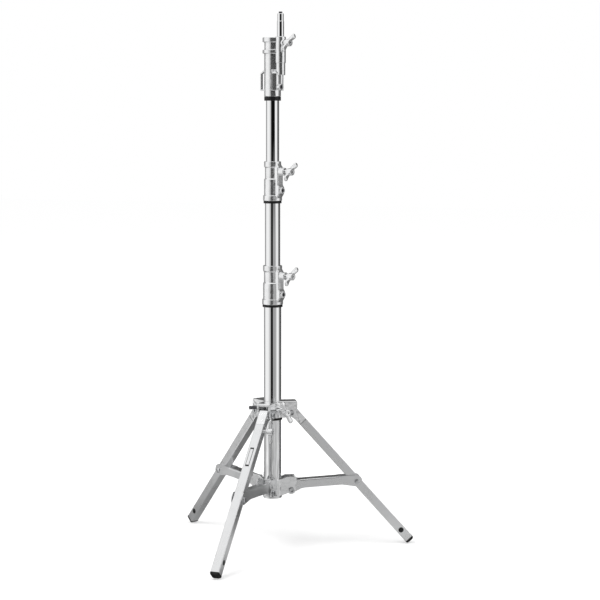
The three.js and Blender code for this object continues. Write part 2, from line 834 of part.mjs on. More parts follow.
function footPlug() {
  const width = legWidth + 2 * footLip;
  const depth = legDepth + 2 * footLip;
  const section = legSection(width, depth, legCorner + footLip);
  const sole = new THREE.ExtrudeGeometry(section, {
    depth: footThickness - 2 * footRound,
    bevelEnabled: true,
    bevelSize: footRound,
    bevelOffset: -footRound,
    bevelThickness: footRound,
    bevelSegments: cornerSegments,
    curveSegments: cornerSegments,
  });
  sole.translate(0, 0, footRound - legLength);
  const fit = 2 * (legWall + seatGap);
  const tang = legSection(legWidth - fit, legDepth - fit, legCorner / 2);
  const shoulder = footThickness - legLength;
  return join(
    sole,
    raised(section, footRound - legLength, shoulder),
    raised(tang, shoulder - 1, shoulder + footTang),
  );
}

function crossPlug() {
  const end = legWidth / 2 + seatGap;
  return crosswise(plugRadius, legOffset, -plugDistance, -end, end);
}

// ---- Braces: drawn level from the pivot, out to -Y ----
function brace() {
  const side = new THREE.Shape();
  side.moveTo(braceWebStart - 2 * braceWall, braceTop);
  side.lineTo(rivetOut, braceTop);
  side.quadraticCurveTo(rivetOut + braceEndRadius, braceTop, rivetOut + braceEndRadius, rivetUp);
  side.absarc(rivetOut, rivetUp, braceEndRadius, 0, -0.6 * Math.PI, true);
  side.lineTo(rivetOut - 3 * braceEndRadius, braceBottom);
  side.lineTo(3 * braceEyeRadius, braceBottom);
  side.absarc(0, 0, braceEyeRadius, -0.35 * Math.PI, -1.5 * Math.PI, true);
  const webEnd = rivetOut - braceWebSetback;
  const web = outline([
    [braceWebStart, braceTop - braceWall],
    [webEnd, braceTop - braceWall],
    [webEnd, braceTop],
    [braceWebStart, braceTop],
  ]);
  const past = braceOuter + overshoot;
  return cut(
    join(
      across(side, -braceOuter, -braceInner),
      across(side, braceInner, braceOuter),
      across(web, -braceInner - 1, braceInner + 1),
    ),
    crosswise(boltHole, 0, 0, -past, past),
    crosswise(rivetRadius + seatGap, rivetOut, rivetUp, -past, past),
  );
}

// ---- Assembly ----
function mesh(name, geometry, material) {
  const made = new THREE.Mesh(geometry, material);
  made.name = name;
  geometry.computeVertexNormals();
  return made;
}

function turnedGroup(azimuth, z = 0) {
  const group = new THREE.Group();
  group.rotation.z = radians(azimuth);
  group.position.z = z;
  return group;
}

// A pad and the T-handle that drives it, in a group whose front is the clamp's direction.
function addClamp(group, prefix, roundRadius, hubStart, z, turn) {
  const pad = mesh(prefix + "_clamp_pad", clampPad(roundRadius), brass);
  const shankStart = roundRadius + slideGap + padThickness + seatGap;
  const handle = mesh(prefix + "_t_handle", tHandle(shankStart, hubStart, turn), castChrome);
  pad.position.z = z;
  handle.position.z = z;
  group.add(pad, handle);
}

// The casting on a tube's end, with its ring, screws and clamp.
function riserCollarSet(prefix, base, tubeRadius, riserRadius) {
  const group = turnedGroup(clampAzimuth, base);
  const skirt = tubeRadius + collarWall;
  const ringBottom = -seatGap - collarRingHeight;
  const ringInner = tubeRadius + slideGap;
  const bushing = ring(ringInner, ringInner + collarRingWall, ringBottom, -seatGap);
  const pinch = pinchScrew(tubeRadius, skirt + pinchBossReach, pinchHeight);
  group.add(
    mesh(prefix + "_collar", riserCollar(tubeRadius, riserRadius), castChrome),
    mesh(prefix + "_collar_ring", bushing, blackPlastic),
    mesh(prefix + "_pinch_screw", pinch, darkSteel),
  );
  const hubStart = skirt + clampBossReach + clampHubGap;
  addClamp(group, prefix, riserRadius, hubStart, clampHeight, clampTurn);
  return group;
}

function column() {
  const group = new THREE.Group();
  group.add(
    mesh("column_tube", tube(columnRadius, columnBottom, columnTop), chrome),
    mesh("column_end_cap", endCap(), satinSteel),
    mesh("brace_collar", braceCollar(), castChrome),
    riserCollarSet("lower", lowerCollarBase, columnRadius, middleRadius),
  );
  return group;
}

function middleRiser() {
  const group = new THREE.Group();
  const bottom = middleTop - middleTubeLength;
  group.add(
    mesh("middle_tube", tube(middleRadius, bottom, middleTop), chrome),
    mesh("middle_guide", guide(columnInner, middleInner, bottom), blackPlastic),
    riserCollarSet("upper", upperCollarBase, middleRadius, topRadius),
  );
  return group;
}

function topRiser() {
  const group = new THREE.Group();
  const bottom = topTubeTop - topTubeLength;
  const clampSide = turnedGroup(clampAzimuth, headBase);
  const spigotMesh = mesh("spigot", spigot(), chrome);
  spigotMesh.position.set(0, -spigotOut, spigotBossTop + seatGap);
  clampSide.add(
    spigotMesh,
    mesh("head_pinch_screw", pinchScrew(topRadius, headPinchOut, headPinchHeight), darkSteel),
  );
  addClamp(
    clampSide,
    "head",
    socketRadius,
    headClampBossOut + headClampHubGap,
    headClampHeight,
    clampTurn,
  );
  const casting = mesh("head_casting", headCasting(), castChrome);
  casting.position.z = headBase;
  const bandTop = headBase - seatGap;
  const band = ring(topRadius + slideGap, headRingRadius, bandTop - headRingHeight, bandTop);
  group.add(
    mesh("top_tube", tube(topRadius, bottom, topTubeTop), chrome),
    mesh("top_guide", guide(middleInner, topInner, bottom), blackPlastic),
    casting,
    mesh("head_ring", band, blackPlastic),
    clampSide,
  );
  return group;
}

function slidingCollar() {
  const group = new THREE.Group();
  const bushTop = legCollarBase - seatGap;
  const bush = ring(collarBore, columnRadius + collarBushWall, bushTop - collarBushHeight, bushTop);
  const lockSide = turnedGroup(lockAzimuth);
  const lockZ = legCollarBase + lockScrewHeight;
  addClamp(lockSide, "leg_lock", columnRadius, lockBossOut + lockHubGap, lockZ, lockTurn);
  const stopSide = turnedGroup(stopAzimuth);
  const stopZ = legCollarBase + stopScrewHeight;
  const stopEnd = lockBossOut + stopScrewShowing;
  const stop = outward(stopScrewRadius, columnRadius + slideGap, stopEnd, stopZ);
  stopSide.add(mesh("leg_collar_stop_screw", stop, darkSteel));
  group.add(
    mesh("leg_collar", legCollar(), castChrome),
    mesh("leg_collar_bush", bush, blackPlastic),
    lockSide,
    stopSide,
  );
  return group;
}

// A leg, hung from its pivot at the spread angle.
function leg(name) {
  const group = new THREE.Group();
  const isFront = name === "front";
  group.position.set(0, -legPivotOut, legPivotZ);
  group.rotation.x = -tilt;
  group.add(
    mesh("leg_head_" + name, legHead(), castChrome),
    mesh("leg_tube_" + name, isFront ? handledLegTube() : legTube(), satinSteel),
    mesh("foot_plug_" + name, footPlug(), blackRubber),
    mesh("cross_plug_" + name, crossPlug(), blackPlastic),
  );
  if (isFront) {
    const tip = legWidth / 2 - legWall;
    const handle = tHandle(tip, legWidth / 2 + legHandleGap, -legTilt);
    const handleMesh = mesh("leg_t_handle", handle.rotateZ(Math.PI / 2), castChrome);
    handleMesh.position.set(0, -legOffset, -legHandleDistance);
    group.add(handleMesh);
  }
  return group;
}

function braceSet(name) {
  const group = new THREE.Group();
  group.position.set(0, -bracePivotOut, bracePivotZ);
  group.rotation.x = -slope;
  group.add(mesh("brace_" + name, brace(), satinSteel));
  for (const [side, turn] of [["right", 0], ["left", Math.PI]]) {
    const rivet = mesh("rivet_" + name + "_" + side, stubRivet().rotateZ(turn), zinc);
    rivet.position.set(0, -rivetOut, rivetUp);
    group.add(rivet);
  }
  return group;
}

const stand = new THREE.Group();
stand.add(column(), middleRiser(), topRiser(), slidingCollar());
for (const [name, azimuth] of Object.entries(legAzimuths)) {
  const station = turnedGroup(azimuth);
  const legBolt = mesh("leg_bolt_" + name, pivotBolt(legLugOuter), zinc);
  legBolt.position.set(0, -legPivotOut, legPivotZ);
  const braceBolt = mesh("brace_bolt_" + name, pivotBolt(braceLugOuter), zinc);
  braceBolt.position.set(0, -bracePivotOut, bracePivotZ);
  station.add(leg(name), braceSet(name), legBolt, braceBolt);
  stand.add(station);
}

export default stand;
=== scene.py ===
import json
import math

import bmesh
import bpy
import numpy as np
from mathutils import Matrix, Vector


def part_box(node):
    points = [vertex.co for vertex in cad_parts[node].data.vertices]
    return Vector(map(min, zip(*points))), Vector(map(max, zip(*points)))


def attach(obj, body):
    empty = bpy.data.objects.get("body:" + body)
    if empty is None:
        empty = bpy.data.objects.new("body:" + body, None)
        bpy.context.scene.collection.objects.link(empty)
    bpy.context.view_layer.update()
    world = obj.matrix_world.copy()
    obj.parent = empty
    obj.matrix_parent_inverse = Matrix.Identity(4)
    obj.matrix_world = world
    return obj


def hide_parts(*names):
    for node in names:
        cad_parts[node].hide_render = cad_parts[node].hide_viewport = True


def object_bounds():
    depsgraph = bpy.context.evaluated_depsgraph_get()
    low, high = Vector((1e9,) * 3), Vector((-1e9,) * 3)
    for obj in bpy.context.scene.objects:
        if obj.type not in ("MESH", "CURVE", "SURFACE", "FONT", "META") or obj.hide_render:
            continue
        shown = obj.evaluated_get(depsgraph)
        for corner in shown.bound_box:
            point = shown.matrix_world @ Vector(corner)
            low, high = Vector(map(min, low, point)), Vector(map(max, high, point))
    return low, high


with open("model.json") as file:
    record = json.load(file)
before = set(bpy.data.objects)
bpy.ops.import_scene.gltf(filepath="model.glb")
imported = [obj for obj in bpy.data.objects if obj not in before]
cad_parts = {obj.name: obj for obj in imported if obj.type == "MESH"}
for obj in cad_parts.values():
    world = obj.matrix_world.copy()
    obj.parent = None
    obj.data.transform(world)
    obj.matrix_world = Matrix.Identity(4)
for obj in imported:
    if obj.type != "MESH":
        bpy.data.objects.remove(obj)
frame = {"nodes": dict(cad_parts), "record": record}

cadBox = [list(corner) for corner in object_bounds()]
record = frame["record"]
bodyOf = {node: body for body, nodes in record["behaviour"]["bodies"].items() for node in nodes}
slotOf = {part["node"]: part["material_slot"] for part in record["subparts"]}
jointNamed = {joint["name"]: joint for joint in record["behaviour"]["joints"]}
mm = 0.001
mergeDistance = 0.002 * mm  # corners nearer than this become one
print("frame loaded:", len(bodyOf), "nodes")


# Surfaces. A patch holds points, a map of metres over the surface, and faces.

def unit(vectors):
    size = np.linalg.norm(vectors, axis=-1, keepdims=True)
    return vectors / np.maximum(size, 1e-12)


# Each corner becomes an arc that meets both of its sides at a tangent. The arc's centre stands on the
# corner's bisector, radius / sin(half angle) away, and the arc turns the first spoke into the last.
def softened(corners, radius, closed=True, steps=4):
    corners = np.array(corners, float)
    radius = np.broadcast_to(np.asarray(radius, float), len(corners)).copy()[:, None]
    before, after = np.roll(corners, 1, axis=0), np.roll(corners, -1, axis=0)
    if not closed:
        radius[[0, -1]] = 0
        before[0] = 2 * corners[0] - corners[1]
        after[-1] = 2 * corners[-1] - corners[-2]
    back, on = unit(before - corners), unit(after - corners)
    half = 0.5 * np.arccos(np.clip((back * on).sum(1, keepdims=True), -1, 1))
    centre = corners + unit(back + on) * radius / np.sin(half)
    reach = radius / np.tan(half)
    first, last = corners + back * reach - centre, corners + on * reach - centre
    turn = np.maximum(np.pi - 2 * half, 1e-6)[:, None]
    share = np.linspace(0, 1, steps + 1)[None, :, None]
    arcs = np.sin((1 - share) * turn) * first[:, None] + np.sin(share * turn) * last[:, None]
    points = (centre[:, None] + arcs / np.sin(turn)).reshape(-1, 2)
    fresh = np.linalg.norm(points - np.roll(points, 1, axis=0), axis=1) > 1e-8
    fresh[0] = True
    points = points[fresh]
    return np.vstack([points, points[:1]]) if closed else points


def alongLine(points):
    return np.r_[0, np.cumsum(np.linalg.norm(np.diff(points, axis=0), axis=1))]


def gridPatch(points, across, along):
    rows, columns = points.shape[:2]
    index = np.arange(rows * columns).reshape(rows, columns)
    quads = np.stack([index[:-1, :-1], index[:-1, 1:], index[1:, 1:], index[1:, :-1]], -1)
    mapped = np.stack(np.broadcast_arrays(across, along), -1)
    faces = quads.reshape(-1, 4).tolist()
    return {"points": points.reshape(-1, 3), "map": mapped.reshape(-1, 2), "faces": faces}


def capPatch(points, mapped):
    return {"points": points, "map": mapped, "faces": [list(range(len(points)))]}


# A profile of (radius, height) carried round the upright axis: x = r sin t, y = -r cos t, z = height.
def turned(profile, steps=96, limit=None):
    profile = np.asarray(profile, float)
    turn = np.linspace(0, 2 * np.pi, steps + 1)[None]
    radius, height = profile[:, :1], profile[:, 1:]
    if limit is not None:
        radius = np.minimum(radius, limit(turn))
    points = np.stack([radius * np.sin(turn), -radius * np.cos(turn), height + 0 * turn], -1)
    return [gridPatch(points, turn * profile[:, 0].max(), alongLine(profile)[:, None])]


# The outline of a ring's wall in (radius, height), for turned to carry round.
def wallOutline(inner, outer, low, high, soft):
    return softened([(inner, low), (outer, low), (outer, high), (inner, high)], soft)


# An outline in the (out, z) plane, carried from side to side. Its edges are quarter rounds: the outline
# moves in along its own normal by edge (1 - cos a) while its side grows by edge sin a.
def slab(outline, sideFrom, sideTo, edge=0.8 * mm, rows=1, steps=3):
    ring = outline[:-1]
    tangent = unit(np.roll(ring, -1, axis=0) - np.roll(ring, 1, axis=0))
    area = (ring[:, 0] * np.roll(ring[:, 1], -1) - ring[:, 1] * np.roll(ring[:, 0], -1)).sum()
    inwards = np.stack([-tangent[:, 1], tangent[:, 0]], 1) * np.sign(area)
    arc = np.linspace(0, np.pi / 2, steps + 1)
    sink = edge * (1 - np.sin(arc))
    side = sideFrom + edge * (1 - np.cos(arc))
    between = np.linspace(side[-1], sideTo - (side[-1] - sideFrom), rows + 1)[1:-1]
    sides = np.r_[side, between, sideTo - (side[::-1] - sideFrom)]
    sinks = np.r_[sink, 0 * between, sink[::-1]]
    flat = ring[None] + inwards[None] * sinks[:, None, None]
    points = np.stack([np.broadcast_to(sides[:, None], flat.shape[:2]), -flat[..., 0], flat[..., 1]], -1)
    closed = np.concatenate([points, points[:, :1]], 1)
    around = alongLine(outline)[None]
    caps = [capPatch(points[row], flat[row]) for row in (0, -1)]
    return [gridPatch(closed, around, sides[:, None])] + caps


# An outline in the level plane, carried upwards, with the same rounded ends.
def pillar(outline, bottom, top, edge=0.8 * mm, rows=1):
    made = slab(outline, bottom, top, edge, rows)
    return [dict(patch, points=patch["points"][:, [1, 2, 0]] * [-1, 1, 1]) for patch in made]


def moved(patches, change):
    return [dict(patch, points=change(patch["points"])) for patch in patches]


def facingOut(points):
    return np.stack([points[:, 0], -points[:, 2], points[:, 1]], 1)


def facingSide(points):
    return np.stack([points[:, 2], points[:, 1], -points[:, 0]], 1)


def shifted(side, out, height):
    return lambda points: points + np.array([side, -out, height])


# A turn about the upright axis through the origin.
def swung(azimuth):
    a = math.radians(azimuth)
    turn = np.array([[math.cos(a), -math.sin(a), 0], [math.sin(a), math.cos(a), 0], [0, 0, 1]])
    return lambda points: points @ turn.T


# A turn about the side axis through the origin: a thing that hangs straight down swings outwards.
def tipped(angle):
    a = math.radians(-angle)
    turn = np.array([[1, 0, 0], [0, math.cos(a), -math.sin(a)], [0, math.sin(a), math.cos(a)]])
    return lambda points: points @ turn.T


def inOrder(*changes):
    def change(points):
        for step in changes:
            points = step(points)
        return points
    return change


def finishPiece(name, patches, node, material, replaced=None, sharp=40):
    starts = np.cumsum([0] + [len(patch["points"]) for patch in patches])
    points = np.concatenate([patch["points"] for patch in patches])
    mapped = np.concatenate([patch["map"] for patch in patches])
    faces = [[corner + start for corner in face]
             for patch, start in zip(patches, starts) for face in patch["faces"]]
    mesh = bpy.data.meshes.new(name)
    mesh.from_pydata(points, [], faces)
    corners = np.empty(len(mesh.loops), np.int32)
    mesh.loops.foreach_get("vertex_index", corners)
    mesh.uv_layers.new(name="surface").data.foreach_set("uv", mapped[corners].ravel())
    tidy = bmesh.new()
    tidy.from_mesh(mesh)
    bmesh.ops.remove_doubles(tidy, verts=tidy.verts, dist=mergeDistance)
    bmesh.ops.recalc_face_normals(tidy, faces=tidy.faces)
    tidy.to_mesh(mesh)
    tidy.free()
    mesh.shade_smooth()
    mesh.set_sharp_from_angle(angle=math.radians(sharp))
    piece = bpy.data.objects.new(name, mesh)
    bpy.context.collection.objects.link(piece)
    piece.data.materials.append(material)
    even = piece.modifiers.new("evenNormals", "WEIGHTED_NORMAL")
    even.keep_sharp = True
    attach(piece, bodyOf[node])
    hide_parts(*([node] if replaced is None else replaced))
    return piece


# Camera.

cameraSettings = {
    "lookAtHeight": 462.25 * mm,
    "distance": 4.2,
    "azimuth": 22.44,  # round from the front leg, towards the right
    "elevation": 5.856,
    "lens": 109.14,
    "shift": 0.0457,
}


# The direction from the stand to a place at an azimuth and an elevation, in degrees.
def towards(azimuth, elevation):
    a, e = math.radians(azimuth), math.radians(elevation)
    return Vector((math.sin(a) * math.cos(e), -math.cos(a) * math.cos(e), math.sin(e)))


def makeCamera(s):
    back = towards(s["azimuth"], s["elevation"])
    camera = bpy.data.objects.new("camera", bpy.data.cameras.new("camera"))
    bpy.context.collection.objects.link(camera)
    camera.location = Vector((0, 0, s["lookAtHeight"])) + back * s["distance"]
    camera.rotation_euler = (-back).to_track_quat("-Z", "Y").to_euler()
    camera.data.lens = s["lens"]
    camera.data.shift_x = s["shift"]
    camera.data.clip_end = 60
    bpy.context.scene.camera = camera


makeCamera(cameraSettings)
bpy.context.scene.view_settings.view_transform = "Standard"


class Nodes:
    # A short way to write node trees: add makes a node and sets its inputs, links included.
    def __init__(self, tree):
        self.tree = tree
        tree.nodes.clear()

    def add(self, kind, inputs=None, **settings):
        node = self.tree.nodes.new(kind)
        for key, value in settings.items():
            setattr(node, key, value)
        for key, value in (inputs or {}).items():
            if isinstance(value, bpy.types.NodeSocket):
                self.tree.links.new(value, node.inputs[key])
            else:
                node.inputs[key].default_value = value
        return node


# Finishes. Every pattern reads the piece's own place in metres, or its map where it follows the surface.

def newMaterial(name):
    material = bpy.data.materials.new(name)
    material.use_nodes = True
    nodes = Nodes(material.node_tree)
    shader = nodes.add("ShaderNodeBsdfPrincipled")
    nodes.add("ShaderNodeOutputMaterial", {"Surface": shader.outputs[0]})
    return material, nodes, shader


# Stretches the middle of a noise over a range.
def spread(nodes, value, low, high):
    ends = {"From Min": 0.3, "From Max": 0.7, "To Min": low, "To Max": high}
    return nodes.add("ShaderNodeMapRange", {"Value": value, **ends}).outputs[0]


def noise(nodes, place, scale, detail, roughness=0.5):
    settings = {"Vector": place, "Scale": scale, "Detail": detail, "Roughness": roughness}
    return nodes.add("ShaderNodeTexNoise", settings).outputs[0]


def maths(nodes, operation, *values, clamp=False):
    inputs = dict(enumerate(values))
    return nodes.add("ShaderNodeMath", inputs, operation=operation, use_clamp=clamp).outputs[0]


def blended(nodes, share, low, high):
    return nodes.add("ShaderNodeMix", {0: share, 6: low, 7: high}, data_type="RGBA").outputs[2]


# Bright metal: cloudy polish from broad noise and fine pits from small noise. A casting adds slow waves
# and scatters a little light, and drawn metal adds fine lines along its map.
def metal(name, s):
    material, nodes, shader = newMaterial(name)
    place = nodes.add("ShaderNodeTexCoord").outputs["Object"]
    cloud = noise(nodes, place, s["cloudScale"], 4)
    pits = noise(nodes, place, s["pitScale"], 3)
    dark = [tone * s["shade"] for tone in s["colour"]]
    body = blended(nodes, spread(nodes, cloud, 0, 1), (*dark, 1), (*s["colour"], 1))
    height, bumpStep = pits, s["pitDepth"]
    rough = spread(nodes, cloud, s["roughness"] * 0.8, s["roughness"] * 1.25)
    if "waveScale" in s:
        wave = noise(nodes, place, s["waveScale"], 1)
        height = maths(nodes, "MULTIPLY_ADD", wave, s["waveDepth"] / bumpStep, pits)
    if "lineScale" in s:
        surface = nodes.add("ShaderNodeUVMap", uv_map="surface").outputs[0]
        drawn = nodes.add("ShaderNodeMapping", {"Vector": surface, "Scale": (*s["lineScale"], 1)})
        lines = noise(nodes, drawn.outputs[0], 1, 5, roughness=0.65)
        height = maths(nodes, "MULTIPLY_ADD", lines, s["lineDepth"] / bumpStep, pits)
        streak = spread(nodes, lines, -s["lineContrast"], s["lineContrast"])
        rough = maths(nodes, "ADD", rough, streak, clamp=True)
    bump = nodes.add("ShaderNodeBump", {"Height": height, "Distance": bumpStep, "Strength": s["bump"]})
    shader.inputs["Metallic"].default_value = s.get("metallic", 1)
    links = nodes.tree.links
    links.new(body, shader.inputs["Base Color"])
    links.new(rough, shader.inputs["Roughness"])
    links.new(bump.outputs[0], shader.inputs["Normal"])
    return material


# Moulded plastic and rubber: a fine grain, with rubbed spots where the broad noise is high.
def moulded(name, s):
    material, nodes, shader = newMaterial(name)
    place = nodes.add("ShaderNodeTexCoord").outputs["Object"]
    grain = noise(nodes, place, s["grainScale"], 3)
    rubbed = noise(nodes, place, s["rubScale"], 5)
    body = blended(nodes, spread(nodes, rubbed, 0, 1), (*s["colour"], 1), (*s["rubbedColour"], 1))
    rough = spread(nodes, rubbed, s["roughness"] * 1.1, s["roughness"] * 0.85)
    bump = nodes.add("ShaderNodeBump", {"Height": grain, "Distance": s["grainDepth"], "Strength": 0.6})
    shader.inputs["Specular IOR Level"].default_value = s["specular"]
    links = nodes.tree.links
    links.new(body, shader.inputs["Base Color"])
    links.new(rough, shader.inputs["Roughness"])
    links.new(bump.outputs[0], shader.inputs["Normal"])
    return material


finishes = {
    "chrome_tube": metal("mirrorChrome", {
        "colour": (0.9, 0.905, 0.91), "shade": 0.97, "roughness": 0.035, "cloudScale": 14, "pitScale": 900,
        "pitDepth": 0.004 * mm, "bump": 0.25, "lineScale": (1800, 12), "lineDepth": 0.003 * mm,
        "lineContrast": 0.012,
    }),
    "cast_chrome": metal("castChrome", {
        "colour": (0.9, 0.905, 0.91), "shade": 0.9, "roughness": 0.12, "cloudScale": 60, "pitScale": 420,
        "pitDepth": 0.03 * mm, "bump": 0.5, "waveScale": 85, "waveDepth": 1.1 * mm, "metallic": 0.9,
    }),
    "satin_steel": metal("satinSteel", {
        "colour": (0.87, 0.875, 0.88), "shade": 0.9, "roughness": 0.3, "cloudScale": 22, "pitScale": 1500,
        "pitDepth": 0.01 * mm, "bump": 0.4, "lineScale": (1500, 18), "lineDepth": 0.012 * mm,
        "lineContrast": 0.05,
    }),
    "zinc_steel": metal("zincPlate", {
        "colour": (0.7, 0.71, 0.72), "shade": 0.85, "roughness": 0.24, "cloudScale": 160, "pitScale": 1400,
        "pitDepth": 0.02 * mm, "bump": 0.4,
    }),
    # Dark steel; the spigot's tip also takes it as painted shade for the shadow in its threads.
    "dark_steel": metal("blackenedSteel", {
        "colour": (0.17, 0.17, 0.18), "shade": 0.7, "roughness": 0.32, "cloudScale": 160, "pitScale": 1400,
        "pitDepth": 0.02 * mm, "bump": 0.4,
    }),
    "brass_pad": metal("rubbedBrass", {
        "colour": (0.72, 0.56, 0.3), "shade": 0.85, "roughness": 0.28, "cloudScale": 160, "pitScale": 1400,
        "pitDepth": 0.02 * mm, "bump": 0.4,
    }),
    "black_plastic": moulded("blackPlastic", {
        "colour": (0.005, 0.005, 0.0055), "rubbedColour": (0.012, 0.012, 0.0125), "roughness": 0.36,
        "specular": 0.3, "grainScale": 2200, "grainDepth": 0.02 * mm, "rubScale": 70,
    }),
    "black_rubber": moulded("blackRubber", {
        "colour": (0.006, 0.006, 0.006), "rubbedColour": (0.022, 0.022, 0.0215), "roughness": 0.7,
        "specular": 0.3, "grainScale": 1300, "grainDepth": 0.06 * mm, "rubScale": 90,
    }),
}
for node, solid in frame["nodes"].items():
    solid.data.materials.clear()
    solid.data.materials.append(finishes[slotOf[node]])
print("finishes made:", len(finishes))


# Places come from the frame. Sizes are written in millimetres and used in metres.

def metres(sizes):
    return {key: np.asarray(value, float) * mm for key, value in sizes.items()}


def camel(node):
    first, *rest = node.split("_")
    return first + "".join(word.capitalize() for word in rest)


def finishNode(node, patches, sharp=40):
    return finishPiece(camel(node), patches, node, finishes[slotOf[node]], sharp=sharp)


def placeOf(joint):
    return np.array(jointNamed[joint]["pos_m"])


def cornersOf(node):
    mesh = frame["nodes"][node].data
    points = np.empty(3 * len(mesh.vertices))
    mesh.vertices.foreach_get("co", points)
    return points.reshape(-1, 3)


def heights(node):
    low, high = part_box(node)
    return low[2], high[2]


def girth(node):
    points = cornersOf(node)
    return np.hypot(points[:, 0], points[:, 1]).max()


def azimuthOf(direction):
    return math.degrees(math.atan2(direction[0], -direction[1]))


def reachOf(node, azimuth):
    a = math.radians(azimuth)
    out = cornersOf(node) @ np.array([math.sin(a), -math.cos(a), 0])
    return out.min(), out.max()


# What lies nearer the axis than the middle of a wall moves out to it, along its own side line.
def hugged(wallMiddle):
    def change(points):
        reach = wallMiddle(points[:, 2]) ** 2 - points[:, 0] ** 2
        out = np.maximum(-points[:, 1], np.sqrt(np.maximum(reach, 0)))
        return np.stack([points[:, 0], -out, points[:, 2]], 1)
    return change


def everywhere(radius):
    return lambda height: radius + 0 * height


# A turned form that points outwards from the axis at a height.
def boss(profile, height, steps=48):
    return moved(turned(profile, steps), inOrder(facingOut, shifted(0, 0, height)))


# A round with a hexagonal socket in its end. Each row is (radius, height, share of the hexagon): over
# the hexagon's share the radius grows from the flat's to the corner's, apothem / cos(angle off the flat).
def socketed(rows, steps=60):
    rows = np.array(rows, float)
    turn = np.linspace(0, 2 * np.pi, steps + 1)[None]
    off = np.mod(turn, np.pi / 3) - np.pi / 6
    radius = rows[:, :1] * (1 + rows[:, 2:] * (1 / np.cos(off) - 1))
    points = np.stack([radius * np.sin(turn), -radius * np.cos(turn), rows[:, 1:2] + 0 * turn], -1)
    return [gridPatch(points, turn * rows[:, 0].max(), alongLine(rows[:, :2])[:, None])]


def socketHead(radius, foot, top, s):
    lip = s["edge"]
    return [
        (0, foot, 0), (radius - lip, foot, 0), (radius, foot + lip, 0), (radius, top - lip, 0),
        (radius - 0.3 * lip, top - 0.3 * lip, 0), (radius - lip, top, 0), (s["socket"] + lip, top, 0.8),
        (s["socket"], top - 0.4 * lip, 1), (s["socket"], top - s["socketDepth"], 1),
        (0, top - 1.15 * s["socketDepth"], 0),
    ]


# A screw thread: the radius dips by a triangle wave of the height and the turn, one pitch a turn.
def threaded(radius, depth, pitch, bottom, top, steps=36):
    rows = int(round((top - bottom) / pitch * 8)) + 1
    height = np.linspace(bottom, top, rows)[:, None]
    turn = np.linspace(0, 2 * np.pi, steps + 1)[None]
    wave = np.abs(np.mod(height / pitch - turn / (2 * np.pi), 1) * 2 - 1)
    ends = np.clip(np.minimum(height - bottom, top - height) / pitch, 0, 1)
    around = radius - depth * (1 - ends * (1 - wave))
    around = np.concatenate([0 * turn, around, 0 * turn])
    height = np.concatenate([[[bottom]], height, [[top]]])
    points = np.stack([around * np.sin(turn), -around * np.cos(turn), height + 0 * turn], -1)
    return [gridPatch(points, turn * radius, height)]


# Tubes, and the rings, cap and bush on them.

tubeSizes = metres({"wall": 1.6, "lip": 0.5})
ringSizes = metres({"play": 0.3, "lip": 0.7})
capSizes = metres({"lip": 0.9, "plate": 5, "plugPlay": 1.9, "plugLip": 0.6})


def makeTube(node, s):
    (bottom, top), radius = heights(node), girth(node)
    inner = radius - s["wall"]
    ring = wallOutline(inner, radius, bottom, top, s["lip"])
    finishNode(node, turned(ring, 192))


def makeRing(node, tube, s):
    (bottom, top), radius = heights(node), girth(node)
    inner = girth(tube) + s["play"]
    ring = wallOutline(inner, radius, bottom, top, s["lip"])
    finishNode(node, turned(ring, 128))


def makeEndCap(node, s):
    (bottom, top), radius = heights(node), girth(node)
    plug, plate = girth("column_tube") - s["plugPlay"], bottom + s["plate"]
    corners = [(0, bottom), (radius, bottom), (radius, plate), (plug, plate), (plug, top), (0, top)]
    soft = [0, s["lip"], s["lip"], s["plugLip"], s["plugLip"], 0]
    finishNode(node, turned(softened(corners, soft, closed=False), 128))


for tube in ("column_tube", "middle_tube", "top_tube"):
    makeTube(tube, tubeSizes)
for ring, tube in (("lower_collar_ring", "column_tube"), ("upper_collar_ring", "middle_tube"),
                   ("head_ring", "top_tube"), ("leg_collar_bush", "column_tube")):
    makeRing(ring, tube, ringSizes)
makeEndCap("column_end_cap", capSizes)
print("tubes and rings made")


# Clamps: a threaded screw with a T-handle in each boss.

handleSizes = metres({
    "screw": 4, "thread": 0.55, "pitch": 1.25, "hub": 8.2, "hubWaist": 6.6, "hubLength": 16, "waistLength": 3,
    "hubEdge": 1.4, "socket": 3.1, "socketDepth": 3.2, "span": 57, "tip": 6, "neck": 4.3, "wingStart": 4,
    "wingRoot": 8, "wingTip": 5.5, "sweep": 4, "waistEdge": 0.6, "shoulder": (1.2, 2.2), "shoulderEdge": 0.3,
    "socketRim": 0.5, "socketEdge": 0.4,
})
bossSizes = metres({"clamp": 9, "pinch": 7.5, "edge": 1.3, "screwHole": 4.4, "headPlay": 0.3, "root": 10})
screwSizes = metres({"edge": 0.7, "socket": 2.3, "socketDepth": 2.6, "headDepth": 6, "sink": 0.6})


